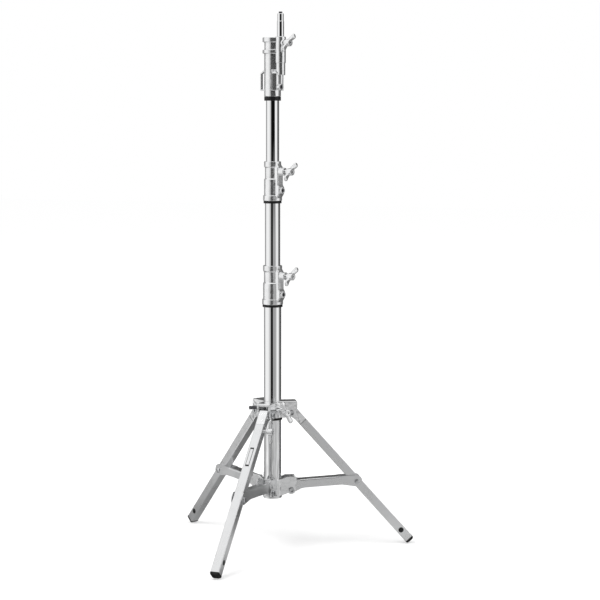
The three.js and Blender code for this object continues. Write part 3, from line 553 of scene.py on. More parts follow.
# Each wing's cross-section is a squircle. Its half width runs from the neck to the tip's radius and
# closes in a half round, its thickness tapers, and its middle line sweeps outwards, all along the span.
def wings(s, steps=40, around=48):
    end, reach = s["span"] / 2, s["span"] / 2 - s["tip"]
    along = end * np.sin(np.linspace(-np.pi / 2, np.pi / 2, 2 * steps + 1))[:, None]
    far = np.abs(along)
    swell = np.clip((far - s["hub"]) / (reach - s["hub"]), 0, 1)
    roundOff = np.sqrt(np.clip(1 - (np.maximum(far - reach, 0) / s["tip"]) ** 2, 0, 1))
    half = (s["neck"] + (s["tip"] - s["neck"]) * swell ** 1.3) * roundOff
    thick = (s["wingRoot"] + (s["wingTip"] - s["wingRoot"]) * swell) * roundOff ** 0.7
    middle = s["wingRoot"] / 2 + (s["sweep"] - (s["wingRoot"] - s["wingTip"]) / 2) * swell ** 1.5
    turn = np.linspace(0, 2 * np.pi, around + 1)[None]
    squircle = [np.sign(wave) * np.abs(wave) ** 0.62 for wave in (np.cos(turn), np.sin(turn))]
    side = half * squircle[0]
    out = middle + thick / 2 * squircle[1]
    points = np.stack([side, -out, along + 0 * turn], -1)
    return [gridPatch(points, turn * s["tip"], along)]


# Drawn with its axis to the front from the origin: the hub starts at hubStart, the screw at screwStart.
def tHandle(screwStart, hubStart, lean, s):
    hubEnd, waist = hubStart + s["hubLength"], hubStart + s["waistLength"]
    hub, edge = s["hub"], s["waistEdge"]
    shoulderLow, shoulderHigh = waist + s["shoulder"]
    rows = [
        (0, hubStart, 0), (s["hubWaist"] - edge, hubStart, 0), (s["hubWaist"], hubStart + edge, 0),
        (s["hubWaist"], waist, 0), (hub - s["shoulderEdge"], shoulderLow, 0), (hub, shoulderHigh, 0),
    ]
    arc = np.linspace(0, np.pi / 2, 6)
    rows += [(hub - s["hubEdge"] * (1 - math.cos(a)), hubEnd - s["hubEdge"] * (1 - math.sin(a)), 0)
             for a in arc]
    rows += [(s["socket"] + s["socketRim"], hubEnd, 0.9), (s["socket"], hubEnd - s["socketEdge"], 1),
             (s["socket"], hubEnd - s["socketDepth"], 1), (0, hubEnd - 1.2 * s["socketDepth"], 0)]
    leaning = np.array([[math.cos(lean), 0, -math.sin(lean)], [0, 1, 0], [math.sin(lean), 0, math.cos(lean)]])
    bar = moved(wings(s), inOrder(lambda points: points @ leaning, shifted(0, hubStart + s["wingStart"], 0)))
    screw = threaded(s["screw"], s["thread"], s["pitch"], screwStart, hubStart + mm)
    return moved(socketed(rows) + screw, facingOut) + bar


def makeTHandle(node, joint, lean, s):
    turnJoint = jointNamed[joint]
    azimuth, height = azimuthOf(turnJoint["axis"]), turnJoint["pos_m"][2]
    start, end = reachOf(node, azimuth)
    made = tHandle(start, end - s["hubLength"], math.radians(lean), s)
    finishNode(node, moved(made, inOrder(shifted(0, 0, height), swung(azimuth))))


leans = {"lower": 50, "upper": 50, "head": 50, "leg_lock": -28}
for clamp, lean in leans.items():
    makeTHandle(clamp + "_t_handle", clamp + "_handle_turn", lean, handleSizes)


# The leg's own T-handle stands across the front leg, with its wings upright.
def makeLegHandle(node, s):
    place = placeOf("leg_handle_turn")
    points = cornersOf(node)
    start, end = points[:, 0].min(), points[:, 0].max()
    made = tHandle(start, end - s["hubLength"], 0, s)
    finishNode(node, moved(made, inOrder(swung(90), shifted(0, -place[1], place[2]))))


makeLegHandle("leg_t_handle", handleSizes)


def makePinchScrew(node, azimuth, s):
    low, high = heights(node)
    radius, (start, end) = (high - low) / 2, reachOf(node, azimuth)
    foot = end - s["headDepth"]
    head = moved(socketed(socketHead(radius, foot, end - s["sink"], s)), facingOut)
    shank = boss([(0, start), (0.6 * radius, start), (0.6 * radius, foot + mm), (0, foot + mm)], 0)
    made = head + shank
    finishNode(node, moved(made, inOrder(shifted(0, 0, (low + high) / 2), swung(azimuth))))


clampAzimuth = azimuthOf(jointNamed["lower_handle_turn"]["axis"])
for screw in ("lower_pinch_screw", "upper_pinch_screw", "head_pinch_screw"):
    makePinchScrew(screw, clampAzimuth, screwSizes)
print("clamps made")


# Riser collars: a turned casting, a rib that hugs it, and two bosses.

collarSizes = metres({
    "wall": 2, "flange": 2.2, "flangeTop": 12, "skirtTop": 50, "waist": 2.1, "barrelTop": 77, "seat": 48,
    "play": 0.3, "ribWidth": 19.5, "ribEnd": 1, "ribFoot": (16.5, 31.5), "ribShoulder": 5, "ribOut": 4,
    "ribFootOut": 7.6, "ribSlant": 5, "ribTop": 76, "ribEdge": 1.8, "ribRoot": 6, "ribStep": 0.3,
    "flangeStep": 0.5, "stepIn": 1, "stepOut": 1.5,
})


def clampBoss(end, height, s):
    soft = [0, 0, s["edge"], 0.5 * s["edge"]]
    return boss(wallOutline(s["screwHole"], s["clamp"], s["root"], end, soft), height)


# The screw's head sits just under the boss's rim.
def pinchBoss(end, height, head, s):
    soft = [0, 0, s["edge"], 0.3 * s["edge"]]
    return boss(wallOutline(head + s["headPlay"], s["pinch"], s["root"], end, soft), height)


def makeRiserCollar(prefix, lowerTube, riser, s):
    node = prefix + "_collar"
    base, top = heights(node)
    skirt, play = girth(lowerTube) + s["wall"], s["play"]
    flange, barrel = skirt + s["flange"], skirt - s["waist"]
    seatBore, riserBore = girth(lowerTube) + play, girth(riser) + play
    tall = top - base
    corners = [(seatBore, 0), (flange, 0), (flange, s["flangeTop"]),
               (skirt, s["flangeTop"] + s["flangeStep"]), (skirt, s["skirtTop"] - s["stepIn"]),
               (barrel, s["skirtTop"] + s["stepOut"]), (barrel, s["barrelTop"] - s["stepOut"]),
               (skirt, s["barrelTop"] + s["stepIn"]), (skirt, tall), (riserBore, tall),
               (riserBore, s["seat"]), (seatBore, s["seat"])]
    soft = np.array([0.5, 1.2, 1.0, 0.8, 3, 3, 3, 3, 1.2, 0.6, 0.4, 0.4]) * mm
    barrelForm = turned(softened(corners, soft), 160)
    seatMiddle, riserMiddle = (seatBore + skirt) / 2, (riserBore + barrel) / 2
    wallMiddle = hugged(lambda height: np.where(height < s["seat"], seatMiddle, riserMiddle))
    out, footOut, (footLow, footHigh) = skirt + s["ribOut"], skirt + s["ribFootOut"], s["ribFoot"]
    inner, ribTop = s["ribRoot"], tall - s["ribEnd"]
    side = [(inner, s["ribEnd"]), (skirt - s["ribSlant"], s["ribEnd"]), (footOut, footLow),
            (footOut, footHigh), (out, footHigh + s["ribShoulder"]), (out, s["ribTop"]),
            (skirt - s["ribSlant"], ribTop), (inner, ribTop), (inner, s["seat"] + s["ribStep"]),
            (inner, s["seat"] - s["ribStep"])]
    softSide = np.array([0, 0, 3, 3, 4, 4, 0, 0, 0, 0]) * mm
    half = s["ribWidth"] / 2
    rib = slab(softened(side, softSide, steps=6), -half, half, s["ribEdge"], rows=14, steps=5)
    screw = np.mean(heights(prefix + "_pinch_screw")) - base
    head = np.ptp(heights(prefix + "_pinch_screw")) / 2
    clamp = placeOf(prefix + "_handle_turn")[2] - base
    clampEnd = reachOf(node, clampAzimuth)[1]
    pinchEnd = reachOf(prefix + "_pinch_screw", clampAzimuth)[1]
    fittings = rib + clampBoss(clampEnd, clamp, bossSizes) + pinchBoss(pinchEnd, screw, head, bossSizes)
    made = barrelForm + moved(fittings, inOrder(wallMiddle, swung(clampAzimuth)))
    finishNode(node, moved(made, shifted(0, 0, base)), sharp=35)


makeRiserCollar("lower", "column_tube", "middle_tube", collarSizes)
makeRiserCollar("upper", "middle_tube", "top_tube", collarSizes)
print("riser collars made")


# Head: a turned casting with a socket above and the tube below, and a post beside it for the spigot.

headSizes = metres({
    "wall": 3.8, "tubeSeat": 56, "socketFloor": 61, "socket": 14.3, "play": 0.3, "barrelTop": 97,
    "flange": 3.8, "flangeTop": 105, "neckInset": 0.4, "neckTop": 123, "height": 133, "rib": 10.8,
    "ribBottom": 48, "jog": 75, "post": 12, "postTop": 134.5, "shankHole": 4.3, "holeDepth": 7.3, "step": 0.4,
})
strapSizes = metres({"width": 11, "thickness": 2.6, "bottom": 13, "top": 61, "slant": 9, "reach": 6.8,
                     "edge": 0.8, "soft": 1.6})
strapAzimuths = (-90, 30, 150)
spigotSizes = metres({"radius": 8, "shank": 7, "shankRadius": 4, "groove": 0.8, "grooveStart": 34,
                      "tip": 4, "tipRadius": 4.5, "threadDepth": 0.7, "pitch": 1.3, "edge": 1.2,
                      "tipSink": 0.5})
headAxis = azimuthOf(jointNamed["head_handle_turn"]["axis"])


# An eyelet's strap: a band off the barrel and back to it, with a slanted top.
def strap(barrel, s):
    outer = barrel + s["reach"] + s["thickness"]
    inner, root = outer - s["thickness"], 0.3 * barrel
    windowTop = s["top"] - s["slant"] - s["thickness"] / 2
    windowHigh, windowLow = windowTop + s["slant"] / 2, s["bottom"] + s["thickness"]
    corners = [(root, s["bottom"]), (outer, s["bottom"]), (outer, s["top"] - s["slant"]), (barrel, s["top"]),
               (root, s["top"]), (root, windowHigh), (barrel, windowHigh), (inner, windowTop),
               (inner, windowLow), (root, windowLow)]
    soft = s["soft"] * np.array([0, 1, 1, 1, 0, 0, 1, 0.6, 0.6, 0])
    half = s["width"] / 2
    return slab(softened(corners, soft, steps=5), -half, half, s["edge"], rows=10, steps=4)


def makeHead(node, s):
    base = heights(node)[0]
    tubeBore = girth("top_tube") + s["play"]
    barrel = tubeBore + s["wall"]
    flange, neck, step = barrel + s["flange"], barrel - s["neckInset"], s["step"]
    corners = [(0, s["tubeSeat"]), (tubeBore, s["tubeSeat"]), (tubeBore, 0), (barrel, 0),
               (barrel, s["barrelTop"]), (flange, s["barrelTop"] + step), (flange, s["flangeTop"]),
               (neck, s["flangeTop"] + step), (neck, s["neckTop"] - step), (flange, s["neckTop"]),
               (flange, s["height"]), (s["socket"], s["height"]), (s["socket"], s["socketFloor"]),
               (0, s["socketFloor"])]
    soft = np.array([0, 0.4, 0.5, 1, 1.4, 0.9, 0.9, 1.4, 1.4, 0.9, 1.0, 1.2, 0.6, 0]) * mm
    body = turned(softened(corners, soft, closed=False), 160)
    lowWall, highWall = (tubeBore + barrel) / 2, (s["socket"] + barrel) / 2
    wallMiddle = hugged(lambda height: np.where(height < s["tubeSeat"], lowWall, highWall))
    ribTop = s["jog"] + mm
    ribCorners = [(0, s["ribBottom"]), (s["rib"], s["ribBottom"]), (s["rib"], ribTop), (0, ribTop)]
    rib = turned(softened(ribCorners, np.array([0, 1.2, 0.3, 0]) * mm, closed=False), 72)
    floor = s["postTop"] - s["holeDepth"]
    postCorners = [(0, s["jog"]), (s["post"], s["jog"]), (s["post"], s["postTop"]),
                   (s["shankHole"], s["postTop"]), (s["shankHole"], floor), (0, floor)]
    post = turned(softened(postCorners, np.array([0, 1.2, 1.4, 0.3, 0, 0]) * mm, closed=False), 72)
    spigotOut = np.mean(reachOf("spigot", headAxis))
    clamp = placeOf("head_handle_turn")[2] - base
    screw, head = np.mean(heights("head_pinch_screw")) - base, np.ptp(heights("head_pinch_screw")) / 2
    fittings = clampBoss(reachOf(node, headAxis)[1], clamp, bossSizes)
    fittings += pinchBoss(reachOf("head_pinch_screw", headAxis)[1], screw, head, bossSizes)
    beside = moved(rib + post, shifted(0, spigotOut, 0)) + moved(fittings, wallMiddle)
    made = body + moved(beside, swung(headAxis))
    for azimuth in strapAzimuths:
        made += moved(strap(barrel, strapSizes), inOrder(wallMiddle, swung(azimuth)))
    finishNode(node, moved(made, shifted(0, 0, base)), sharp=35)


# The spigot is turned, with a long shallow groove, and ends in a threaded tip whose dark colour is painted
# shade.
def makeSpigot(node, s):
    bottom, top = heights(node)
    seat, shoulder = bottom + s["shank"], top - s["tip"]
    groove, edge = s["radius"] - s["groove"], s["edge"]
    corners = [(0, bottom), (s["shankRadius"], bottom), (s["shankRadius"], seat), (s["radius"], seat),
               (s["radius"], seat + s["grooveStart"]), (groove, seat + s["grooveStart"] + mm),
               (groove, shoulder - edge), (groove - edge, shoulder), (0, shoulder)]
    soft = np.array([0, 0.5, 0, 0.8, 0.8, 0.8, 0.8, 0.6, 0]) * mm
    place = inOrder(shifted(0, np.mean(reachOf(node, headAxis)), 0), swung(headAxis))
    post = turned(softened(corners, soft, closed=False), 96)
    finishNode(node, moved(post, place))
    tip = threaded(s["tipRadius"], s["threadDepth"], s["pitch"], shoulder - s["tipSink"], top)
    # The tip's dark finish is painted shade: the shadow of its threads, drawn as colour.
    finishPiece("spigotTip", moved(tip, place), node, finishes["dark_steel"])


makeHead("head_casting", headSizes)
makeSpigot("spigot", spigotSizes)
print("head made")


# Sliding leg collar: a ring with a roofed pair of cheeks for each leg.

legCollarSizes = metres({
    "height": 35.6, "wall": 5.2, "play": 0.3, "lobe": 10, "reach": 14, "cheek": 5, "mouth": 11.5, "roof": 7.5,
    "edge": 0.9, "roofEdge": 2.4, "ceilingSoft": 1.6, "stopBoss": 8, "bossEdge": 1.2, "stopPlay": 0.3,
    "stopPitch": 1.75, "stopThread": 0.7, "bossReach": 16, "root": 6,
})
ringSoft = np.array([0.5, 1.2, 1.2, 0.5]) * mm  # a cast ring's inner and outer edges, from its foot up
legSpokes = {"front": 0, "right": 120, "left": -120}


# Splits every wide run of a section into the same number of parts, so that it can bend round the column.
def ribbed(ring, widest=5 * mm, parts=14):
    wide = np.abs(np.diff(ring[:, 0])) > widest
    steps = [np.linspace(start, end, parts if split else 1, endpoint=False)
             for start, end, split in zip(ring[:-1], ring[1:], wide)]
    return np.concatenate(steps + [ring[-1:]])


# Closes an arch: each strip joins a point of its outside to the point across from it on its inside.
def archEnd(ring):
    count = len(ring) - 1
    near = range(count // 2 - 1)
    faces = [[i, i + 1, count - 2 - i, count - 1 - i] for i in near]
    return {"points": ring[:-1], "map": ring[:-1, [0, 2]], "faces": faces}


# At each step outwards the cross-section is an arch. Its feet follow the round lobe under the pivot, and
# the last steps turn in by quarter rounds, edge (1 - cos a) across while edge sin a runs out.
def roofedCheeks(pivotOut, pivotHeight, base, roofTop, s):
    lobe, reach = s["lobe"], pivotOut + s["reach"]
    outer, ceiling = s["mouth"] + s["cheek"], roofTop - s["roof"]
    arc = np.linspace(1.15, 2, 16) * np.pi
    footOut = np.r_[0, pivotOut - lobe, pivotOut + lobe * np.cos(arc), pivotOut + 1.05 * lobe, reach]
    footHeight = np.r_[base, base, pivotHeight + lobe * np.r_[np.sin(arc), 0.35, 1]]
    quarter = np.linspace(0, np.pi / 2, 7)
    ends = reach - s["roofEdge"] * (1 - np.sin(quarter))
    between = (footOut > s["root"] + mm) & (footOut < ends[0] - 0.2 * mm)
    stations = np.r_[s["root"], footOut[between], ends]
    insets = np.r_[np.zeros(len(stations) - 7), 1 - np.cos(quarter)]
    softOutside = [s["edge"], s["roofEdge"], s["roofEdge"], s["edge"]]
    softInside = [s["edge"], s["ceilingSoft"], s["ceilingSoft"], s["edge"]]
    sections = []
    for out, inset in zip(stations, insets):
        foot = np.interp(out, footOut, footHeight) + inset * s["edge"]
        side, mouth = outer - inset * s["edge"], s["mouth"] + inset * s["edge"]
        top, under = roofTop - inset * s["roofEdge"], ceiling + inset * s["edge"]
        outside = [(-side, foot), (-side, top), (side, top), (side, foot)]
        inside = [(mouth, foot), (mouth, under), (-mouth, under), (-mouth, foot)]
        ring = ribbed(softened(outside + inside, softOutside + softInside, steps=5))
        sections.append(np.stack([ring[:, 0], np.full(len(ring), -out), ring[:, 1]], 1))
    grid = np.array(sections)
    around = alongLine(sections[0][:, [0, 2]])[None]
    return [gridPatch(grid, around, stations[:, None]), archEnd(grid[0]), archEnd(grid[-1])]


def makeLegCollar(node, s):
    base, roofTop = heights(node)
    top, bore = base + s["height"], girth("column_tube") + s["play"]
    outer = girth("column_tube") + s["wall"]
    made = turned(wallOutline(bore, outer, base, top, ringSoft), 160)
    pivot = placeOf("leg_fold_front")
    middle = (bore + outer) / 2
    wallMiddle = hugged(lambda height: np.where(height > top - 0.5 * mm, bore + 0.2 * mm, middle))
    cheeks = moved(roofedCheeks(-pivot[1], pivot[2], base, roofTop, s), wallMiddle)
    for azimuth in legSpokes.values():
        made += moved(cheeks, swung(azimuth))
    lock = jointNamed["leg_lock_handle_turn"]
    lockAzimuth = azimuthOf(lock["axis"])
    bossEnd = girth("column_tube") + s["bossReach"]
    onWall = hugged(everywhere(middle))
    made += moved(clampBoss(bossEnd, lock["pos_m"][2], bossSizes), inOrder(onWall, swung(lockAzimuth)))
    stop = cornersOf("leg_collar_stop_screw")
    stopAzimuth, stopHeight = azimuthOf(stop.mean(axis=0)), np.mean(heights("leg_collar_stop_screw"))
    hole = np.ptp(heights("leg_collar_stop_screw")) / 2 + s["stopPlay"]
    soft = s["bossEdge"] * np.array([0, 0, 1, 0.5])
    stopForm = boss(wallOutline(hole, s["stopBoss"], bossSizes["root"], bossEnd, soft), stopHeight)
    made += moved(stopForm, inOrder(onWall, swung(stopAzimuth)))
    finishNode(node, made, sharp=35)


def makeStopScrew(node, s):
    azimuth, (low, high) = azimuthOf(cornersOf(node).mean(axis=0)), heights(node)
    start, end = reachOf(node, azimuth)
    rod = moved(threaded((high - low) / 2, s["stopThread"], s["stopPitch"], start, end), facingOut)
    place = inOrder(shifted(0, 0, (low + high) / 2), swung(azimuth))
    finishNode(node, moved(rod, place))


makeLegCollar("leg_collar", legCollarSizes)
makeStopScrew("leg_collar_stop_screw", legCollarSizes)
print("leg collar made")


# Brace collar: a ring with a flat behind each open pair of cheeks.

braceCollarSizes = metres({
    "height": 40, "wall": 4.5, "play": 0.3, "flat": 2.5, "lobe": 10, "reach": 12, "above": 31, "inside": 14,
    "cheek": 4, "edge": 0.9, "soft": 1.5,
})


def makeBraceCollar(node, s):
    base = heights(node)[0]
    column = girth("column_tube")
    bore, outer, top = column + s["play"], column + s["wall"], base + s["height"]
    spokes = np.radians(list(legSpokes.values()))[:, None]

    def flats(turn):
        facing = np.cos(turn - spokes)
        return np.where(facing > 0.2, (column + s["flat"]) / np.maximum(facing, 0.2), outer * 2).min(axis=0)

    made = turned(wallOutline(bore, outer, base, top, ringSoft), 192, flats)
    _, pivotSide, pivotHeight = placeOf("brace_fold_front")
    pivotOut = -pivotSide
    lobe, far, ceiling = s["lobe"], pivotOut + s["reach"], pivotHeight + s["above"]
    arc = np.linspace(1.25, 2.15, 14) * np.pi
    underPivot = np.stack([pivotOut + lobe * np.cos(arc), pivotHeight + lobe * np.sin(arc)], 1)
    corners = np.vstack([[(0.5 * column, base)], underPivot, [
        (pivotOut + 0.75 * lobe, pivotHeight + lobe), (far, pivotHeight + 1.6 * lobe), (far, ceiling),
        (pivotOut - lobe, ceiling), (column, top), (0.5 * column, top)]])
    soft = np.r_[0, 0 * arc, np.array([1, 1, 1.3, 1.3, 0, 0]) * s["soft"]]
    side = softened(corners, soft)
    wallMiddle = hugged(everywhere((bore + outer) / 2))
    for azimuth in legSpokes.values():
        for low, high in ((s["inside"], s["inside"] + s["cheek"]), (-s["inside"] - s["cheek"], -s["inside"])):
            made += moved(slab(side, low, high, s["edge"], rows=4), inOrder(wallMiddle, swung(azimuth)))
    finishNode(node, made, sharp=35)


makeBraceCollar("brace_collar", braceCollarSizes)
print("brace collar made")


# Pivot bolts: a shank across the cheeks with a socket head at each end.

boltSizes = metres({"head": 6.5, "headHeight": 4.5, "shank": 4, "edge": 1.0, "socket": 3, "socketDepth": 2.8})


def makeBolt(node, joint, azimuth, half, s):
    foot = half - s["headHeight"]
    head = moved(socketed(socketHead(s["head"], foot, half, s)), facingSide)
    into = foot + mm
    shank = moved(turned([(0, -into), (s["shank"], -into), (s["shank"], into), (0, into)], 36), facingSide)
    pivot = placeOf(joint)
    place = inOrder(swung(azimuth), lambda points: points + pivot)
    made = head + moved(head, swung(180)) + shank
    finishNode(node, moved(made, place))


for spoke, azimuth in legSpokes.items():
    for kind in ("leg", "brace"):
        half = cornersOf(kind + "_bolt_front")[:, 0].max()
        makeBolt(f"{kind}_bolt_{spoke}", f"{kind}_fold_{spoke}", azimuth, half, boltSizes)
print("bolts made")


# Legs, drawn hanging from the pivot, then tipped outwards and swung round.

legSizes = metres({
    "width": 21, "depth": 20, "wall": 2, "corner": 2, "offset": 6.2, "length": 424, "head": 36, "seam": 0.3,
    "eye": 9.5, "headTop": 2, "headEdge": 1.6, "footThickness": 7.5, "footLip": 0.4, "footRound": 6,
    "footRim": 1, "tangPlay": 0.3, "tangEdge": 0.5, "tangLength": 12, "plugDome": 0.35,
})


# The leg's tilt is the cross plug's direction from the pivot, less the angle that its offset makes.
def legTilt(s):
    pivot = placeOf("leg_fold_front")
    fall = cornersOf("cross_plug_front").mean(axis=0) - pivot
    along = math.sqrt(fall @ fall - s["offset"] ** 2 - fall[0] ** 2)
    return math.degrees(math.atan2(-fall[1], -fall[2]) - math.atan2(s["offset"], along)), along


tilt, plugDistance = legTilt(legSizes)


def legPlace(spoke):
    pivot = placeOf("leg_fold_" + spoke)
    return inOrder(tipped(tilt), swung(legSpokes[spoke]), lambda points: points + pivot)


def section(width, depth, corner, s, steps=6):
    x, y = width / 2, depth / 2
    corners = np.array([(-x, -y), (x, -y), (x, y), (-x, y)]) - [0, s["offset"]]
    return softened(corners, corner, steps=steps)


# A box tube: its outline runs down the outside, in under the end, up the inside and out again.
def boxTube(top, bottom, s):
    outside = section(s["width"], s["depth"], s["corner"], s)
    inside = section(s["width"] - 2 * s["wall"], s["depth"] - 2 * s["wall"], 0.5 * s["corner"], s)
    rows = [(outside, top), (outside, bottom), (inside, bottom), (inside, top), (outside, top)]
    points = np.stack([np.c_[ring, np.full(len(ring), height)] for ring, height in rows])
    down = np.array([top, bottom, bottom - s["wall"], top + s["wall"], top])[:, None]
    return [gridPatch(points, alongLine(outside)[None], down)]


def legHead(s):
    outer, inner = s["offset"] + s["depth"] / 2, s["offset"] - s["depth"] / 2
    arc = np.linspace(1.25, 0.5, 14) * np.pi
    eye = s["eye"] * np.stack([np.cos(arc), np.sin(arc)], 1)
    straight = [(outer, s["headTop"]), (outer, -s["head"]), (inner, -s["head"]), (inner, -2.1 * s["eye"])]
    corners = np.vstack([straight, eye])
    soft = np.r_[np.array([1.5, 0.8, 0.8, 1.5]) * mm, 0 * arc]
    return slab(softened(corners, soft), -s["width"] / 2, s["width"] / 2, s["headEdge"], rows=2, steps=5)


# The sole's edge is a quarter round: each level's outline moves in by round (1 - cos a) as it drops.
def footPlug(s):
    wide, deep = s["width"] + 2 * s["footLip"], s["depth"] + 2 * s["footLip"]
    top, sole, roundOff = s["footThickness"] - s["length"], -s["length"], s["footRound"]
    quarter = np.linspace(0, np.pi / 2, 8)
    rim = s["footRim"]
    levels = [(top, rim), (top, 0.5 * rim), (top - 0.15 * rim, 0.15 * rim), (top - 0.5 * rim, 0)]
    levels += [(sole + roundOff * (1 - math.sin(a)), roundOff * (1 - math.cos(a))) for a in quarter]
    rings = [section(wide - 2 * sink, deep - 2 * sink, s["corner"] + 0.6 * sink, s) for _, sink in levels]
    points = np.stack([np.c_[ring, np.full(len(ring), height)] for ring, (height, _) in zip(rings, levels)])
    grid = gridPatch(points, alongLine(rings[4])[None], np.array([height for height, _ in levels])[:, None])
    caps = [capPatch(points[row][:-1], points[row][:-1, :2]) for row in (0, -1)]
    inset = 2 * (s["wall"] + s["tangPlay"])
    tang = section(s["width"] - inset, s["depth"] - inset, mm, s)
    return [grid] + caps + pillar(tang, top - mm, top + s["tangLength"], s["tangEdge"])


# A domed disc at each end of a pin across the leg.
def crossPlug(radius, half, s):
    dome = s["plugDome"]
    profile = [(0, half), (0.45 * radius, half - 0.18 * dome), (0.8 * radius, half - 0.6 * dome),
               (radius, half - dome)]
    mirrored = [(r, -height) for r, height in profile]
    ends = turned(mirrored + profile[::-1], 48)
    return moved(ends, inOrder(facingSide, shifted(0, s["offset"], -plugDistance)))


plateSizes = metres({
    "down": (99, 148), "width": 9, "thickness": 0.5, "corner": 1, "rim": 1, "rimCorner": 0.1, "band": 4,
    "bandCorner": 0.6, "proud": 0.12,
})


# A bare plate on the front leg's outer face, in a thin dark rim with a dark band at each end.
def makePlate(s, legs):
    face = legs["offset"] + legs["depth"] / 2
    (high, low), half = s["down"], s["width"] / 2
    place = legPlace("front")

    def standing(points):
        return np.stack([points[:, 0], -face - points[:, 2], points[:, 1]], 1)

    def sheet(x0, x1, down0, down1, thick, corner):
        ring = softened([(x0, -down1), (x1, -down1), (x1, -down0), (x0, -down0)], corner)
        patches = pillar(ring, 0, thick, min(0.2 * mm, thick / 3))
        return moved(patches, inOrder(standing, place))

    plate = sheet(-half, half, high, low, s["thickness"], s["corner"])
    finishPiece("barePlate", plate, "leg_tube_front", finishes["satin_steel"], replaced=[])
    raised = s["thickness"] + s["proud"]
    start, end = high + s["band"], low - s["band"]
    dark = sheet(-half, half, high, start, raised, s["bandCorner"])
    dark += sheet(-half, half, end, low, raised, s["bandCorner"])
    dark += sheet(-half, -half + s["rim"], start, end, raised, s["rimCorner"])
    dark += sheet(half - s["rim"], half, start, end, raised, s["rimCorner"])
    black = "black_plastic"
    finishPiece("plateRim", dark, "leg_tube_front", finishes[black], replaced=[])


def makeLeg(spoke, s):
    place = legPlace(spoke)
    plug = cornersOf("cross_plug_front")
    half = np.ptp(plug[:, 0]) / 2
    radius = np.hypot(*(plug - plug.mean(axis=0))[:, 1:].T).max()
    forms = {
        "leg_tube_": boxTube(-s["head"] - s["seam"], s["footThickness"] + s["seam"] - s["length"], s),
        "leg_head_": legHead(s),
        "foot_plug_": footPlug(s),
        "cross_plug_": crossPlug(radius, half, s),
    }
    for prefix, patches in forms.items():
        node = prefix + spoke
        finishNode(node, moved(patches, place), sharp=35)


for spoke in legSpokes:
    makeLeg(spoke, legSizes)
makePlate(plateSizes, legSizes)
print("legs made")


# Braces: one folded sheet each. The web is left out near both ends, and the sheet gets its thickness after.

braceSizes = metres({
    "outside": 13.3, "wall": 2, "top": 22, "bottom": 2, "eye": 9, "neck": 16, "webStart": 20,
    "webSetback": 42.5, "rivetLift": 6.65, "end": 12, "bend": 3.2, "bendEase": 4, "edge": 0.35,
    "rowStep": 2, "webMargin": 12, "tailMargin": 6,
})
rivetSizes = metres({"head": 6.5, "height": 2.6, "foot": 0.3, "shank": 3.9})


def braceEdges(rivetOut, s):
    eye, end, lift, top, bottom = s["eye"], s["end"], s["rivetLift"], s["top"], s["bottom"]
    back = np.linspace(np.pi, 0.5 * np.pi, 16)
    share = np.linspace(0, 1, 24)[:, None]
    corner = (1 - share) ** 2 * [rivetOut - 0.4 * end, top] + 2 * share * (1 - share) * [rivetOut + end, top]
    corner = corner + share ** 2 * [rivetOut + end, lift]
    over = np.vstack([eye * np.stack([np.cos(back), np.sin(back)], 1), [(s["neck"], top)], corner])
    below = np.linspace(np.pi, 1.65 * np.pi, 20)
    under = np.linspace(1.4 * np.pi, 2 * np.pi, 20)
    bowl = [rivetOut, lift] + end * np.stack([np.cos(under), np.sin(under)], 1)
    straight = [(3 * eye, bottom), (rivetOut - 3 * end, bottom)]
    low = np.vstack([eye * np.stack([np.cos(below), np.sin(below)], 1), straight, bowl])
    return over, low


# The sheet's cross-section goes up one flange, round a bend of growing radius, over the web and down again.
# Along the brace, stations crowd together at the two round ends: a sine of even steps.
def foldedSheet(rivetOut, s):
    over, low = braceEdges(rivetOut, s)
    start, end = -s["eye"], rivetOut + s["end"]
    webStart, webEnd = s["webStart"], rivetOut - s["webSetback"]
    rounded = 1 - np.cos(np.linspace(0, np.pi / 2, 12))
    early, late = start + rounded * s["eye"], end - rounded[::-1] * s["end"]
    eases = np.linspace(0, s["bendEase"], 5)
    step, margin = s["rowStep"], s["webMargin"]
    web = np.linspace(webStart + margin, webEnd - margin, 16)
    tail = np.linspace(webEnd + s["tailMargin"], late[0] - step, 5)
    middle = np.r_[np.linspace(step, s["neck"] - mm, 6), s["neck"], webStart + eases, web,
                   webEnd - eases[::-1], tail]
    along = np.unique(np.r_[early, middle, late])[:, None]
    topEdge = np.interp(along[:, 0], over[:, 0], over[:, 1])[:, None]
    lowEdge = np.interp(along[:, 0], low[:, 0], low[:, 1])[:, None]
    inWeb = np.clip(np.minimum(along - webStart, webEnd - along) / s["bendEase"], 0, 1)
    bend = s["bend"] * np.sqrt(inWeb * (2 - inWeb))
    up, turn, half = np.linspace(0, 1, 8)[None], np.linspace(0, np.pi / 2, 7)[None], s["outside"]
    flange = lowEdge + (topEdge - bend - lowEdge) * up
    side = np.concatenate([half + 0 * flange, half - bend * (1 - np.cos(turn[:, 1:]))], 1)
    height = np.concatenate([flange, topEdge - bend * (1 - np.sin(turn[:, 1:]))], 1)
    inner = (half - bend) * np.linspace(1, 0, 6)[None, 1:]
    side = np.concatenate([side, inner], 1)
    height = np.concatenate([height, topEdge + 0 * inner], 1)
    side = np.concatenate([side, -side[:, -2::-1]], 1)
    height = np.concatenate([height, height[:, -2::-1]], 1)
    points = np.stack([side, -along + 0 * side, height], -1)
    patch = gridPatch(points, np.cumsum(np.r_[0, np.full(side.shape[1] - 1, step)])[None], along)
    bends = up.size + turn.size - 2
    webColumns = range(bends, side.shape[1] - 1 - bends)
    columns = side.shape[1] - 1
    outsideWeb = (along[:-1, 0] < webStart - 1e-7) | (along[:-1, 0] > webEnd - 1e-7)
    patch["faces"] = [face for number, face in enumerate(patch["faces"])
                      if not (outsideWeb[number // columns] and number % columns in webColumns)]
    return [patch]


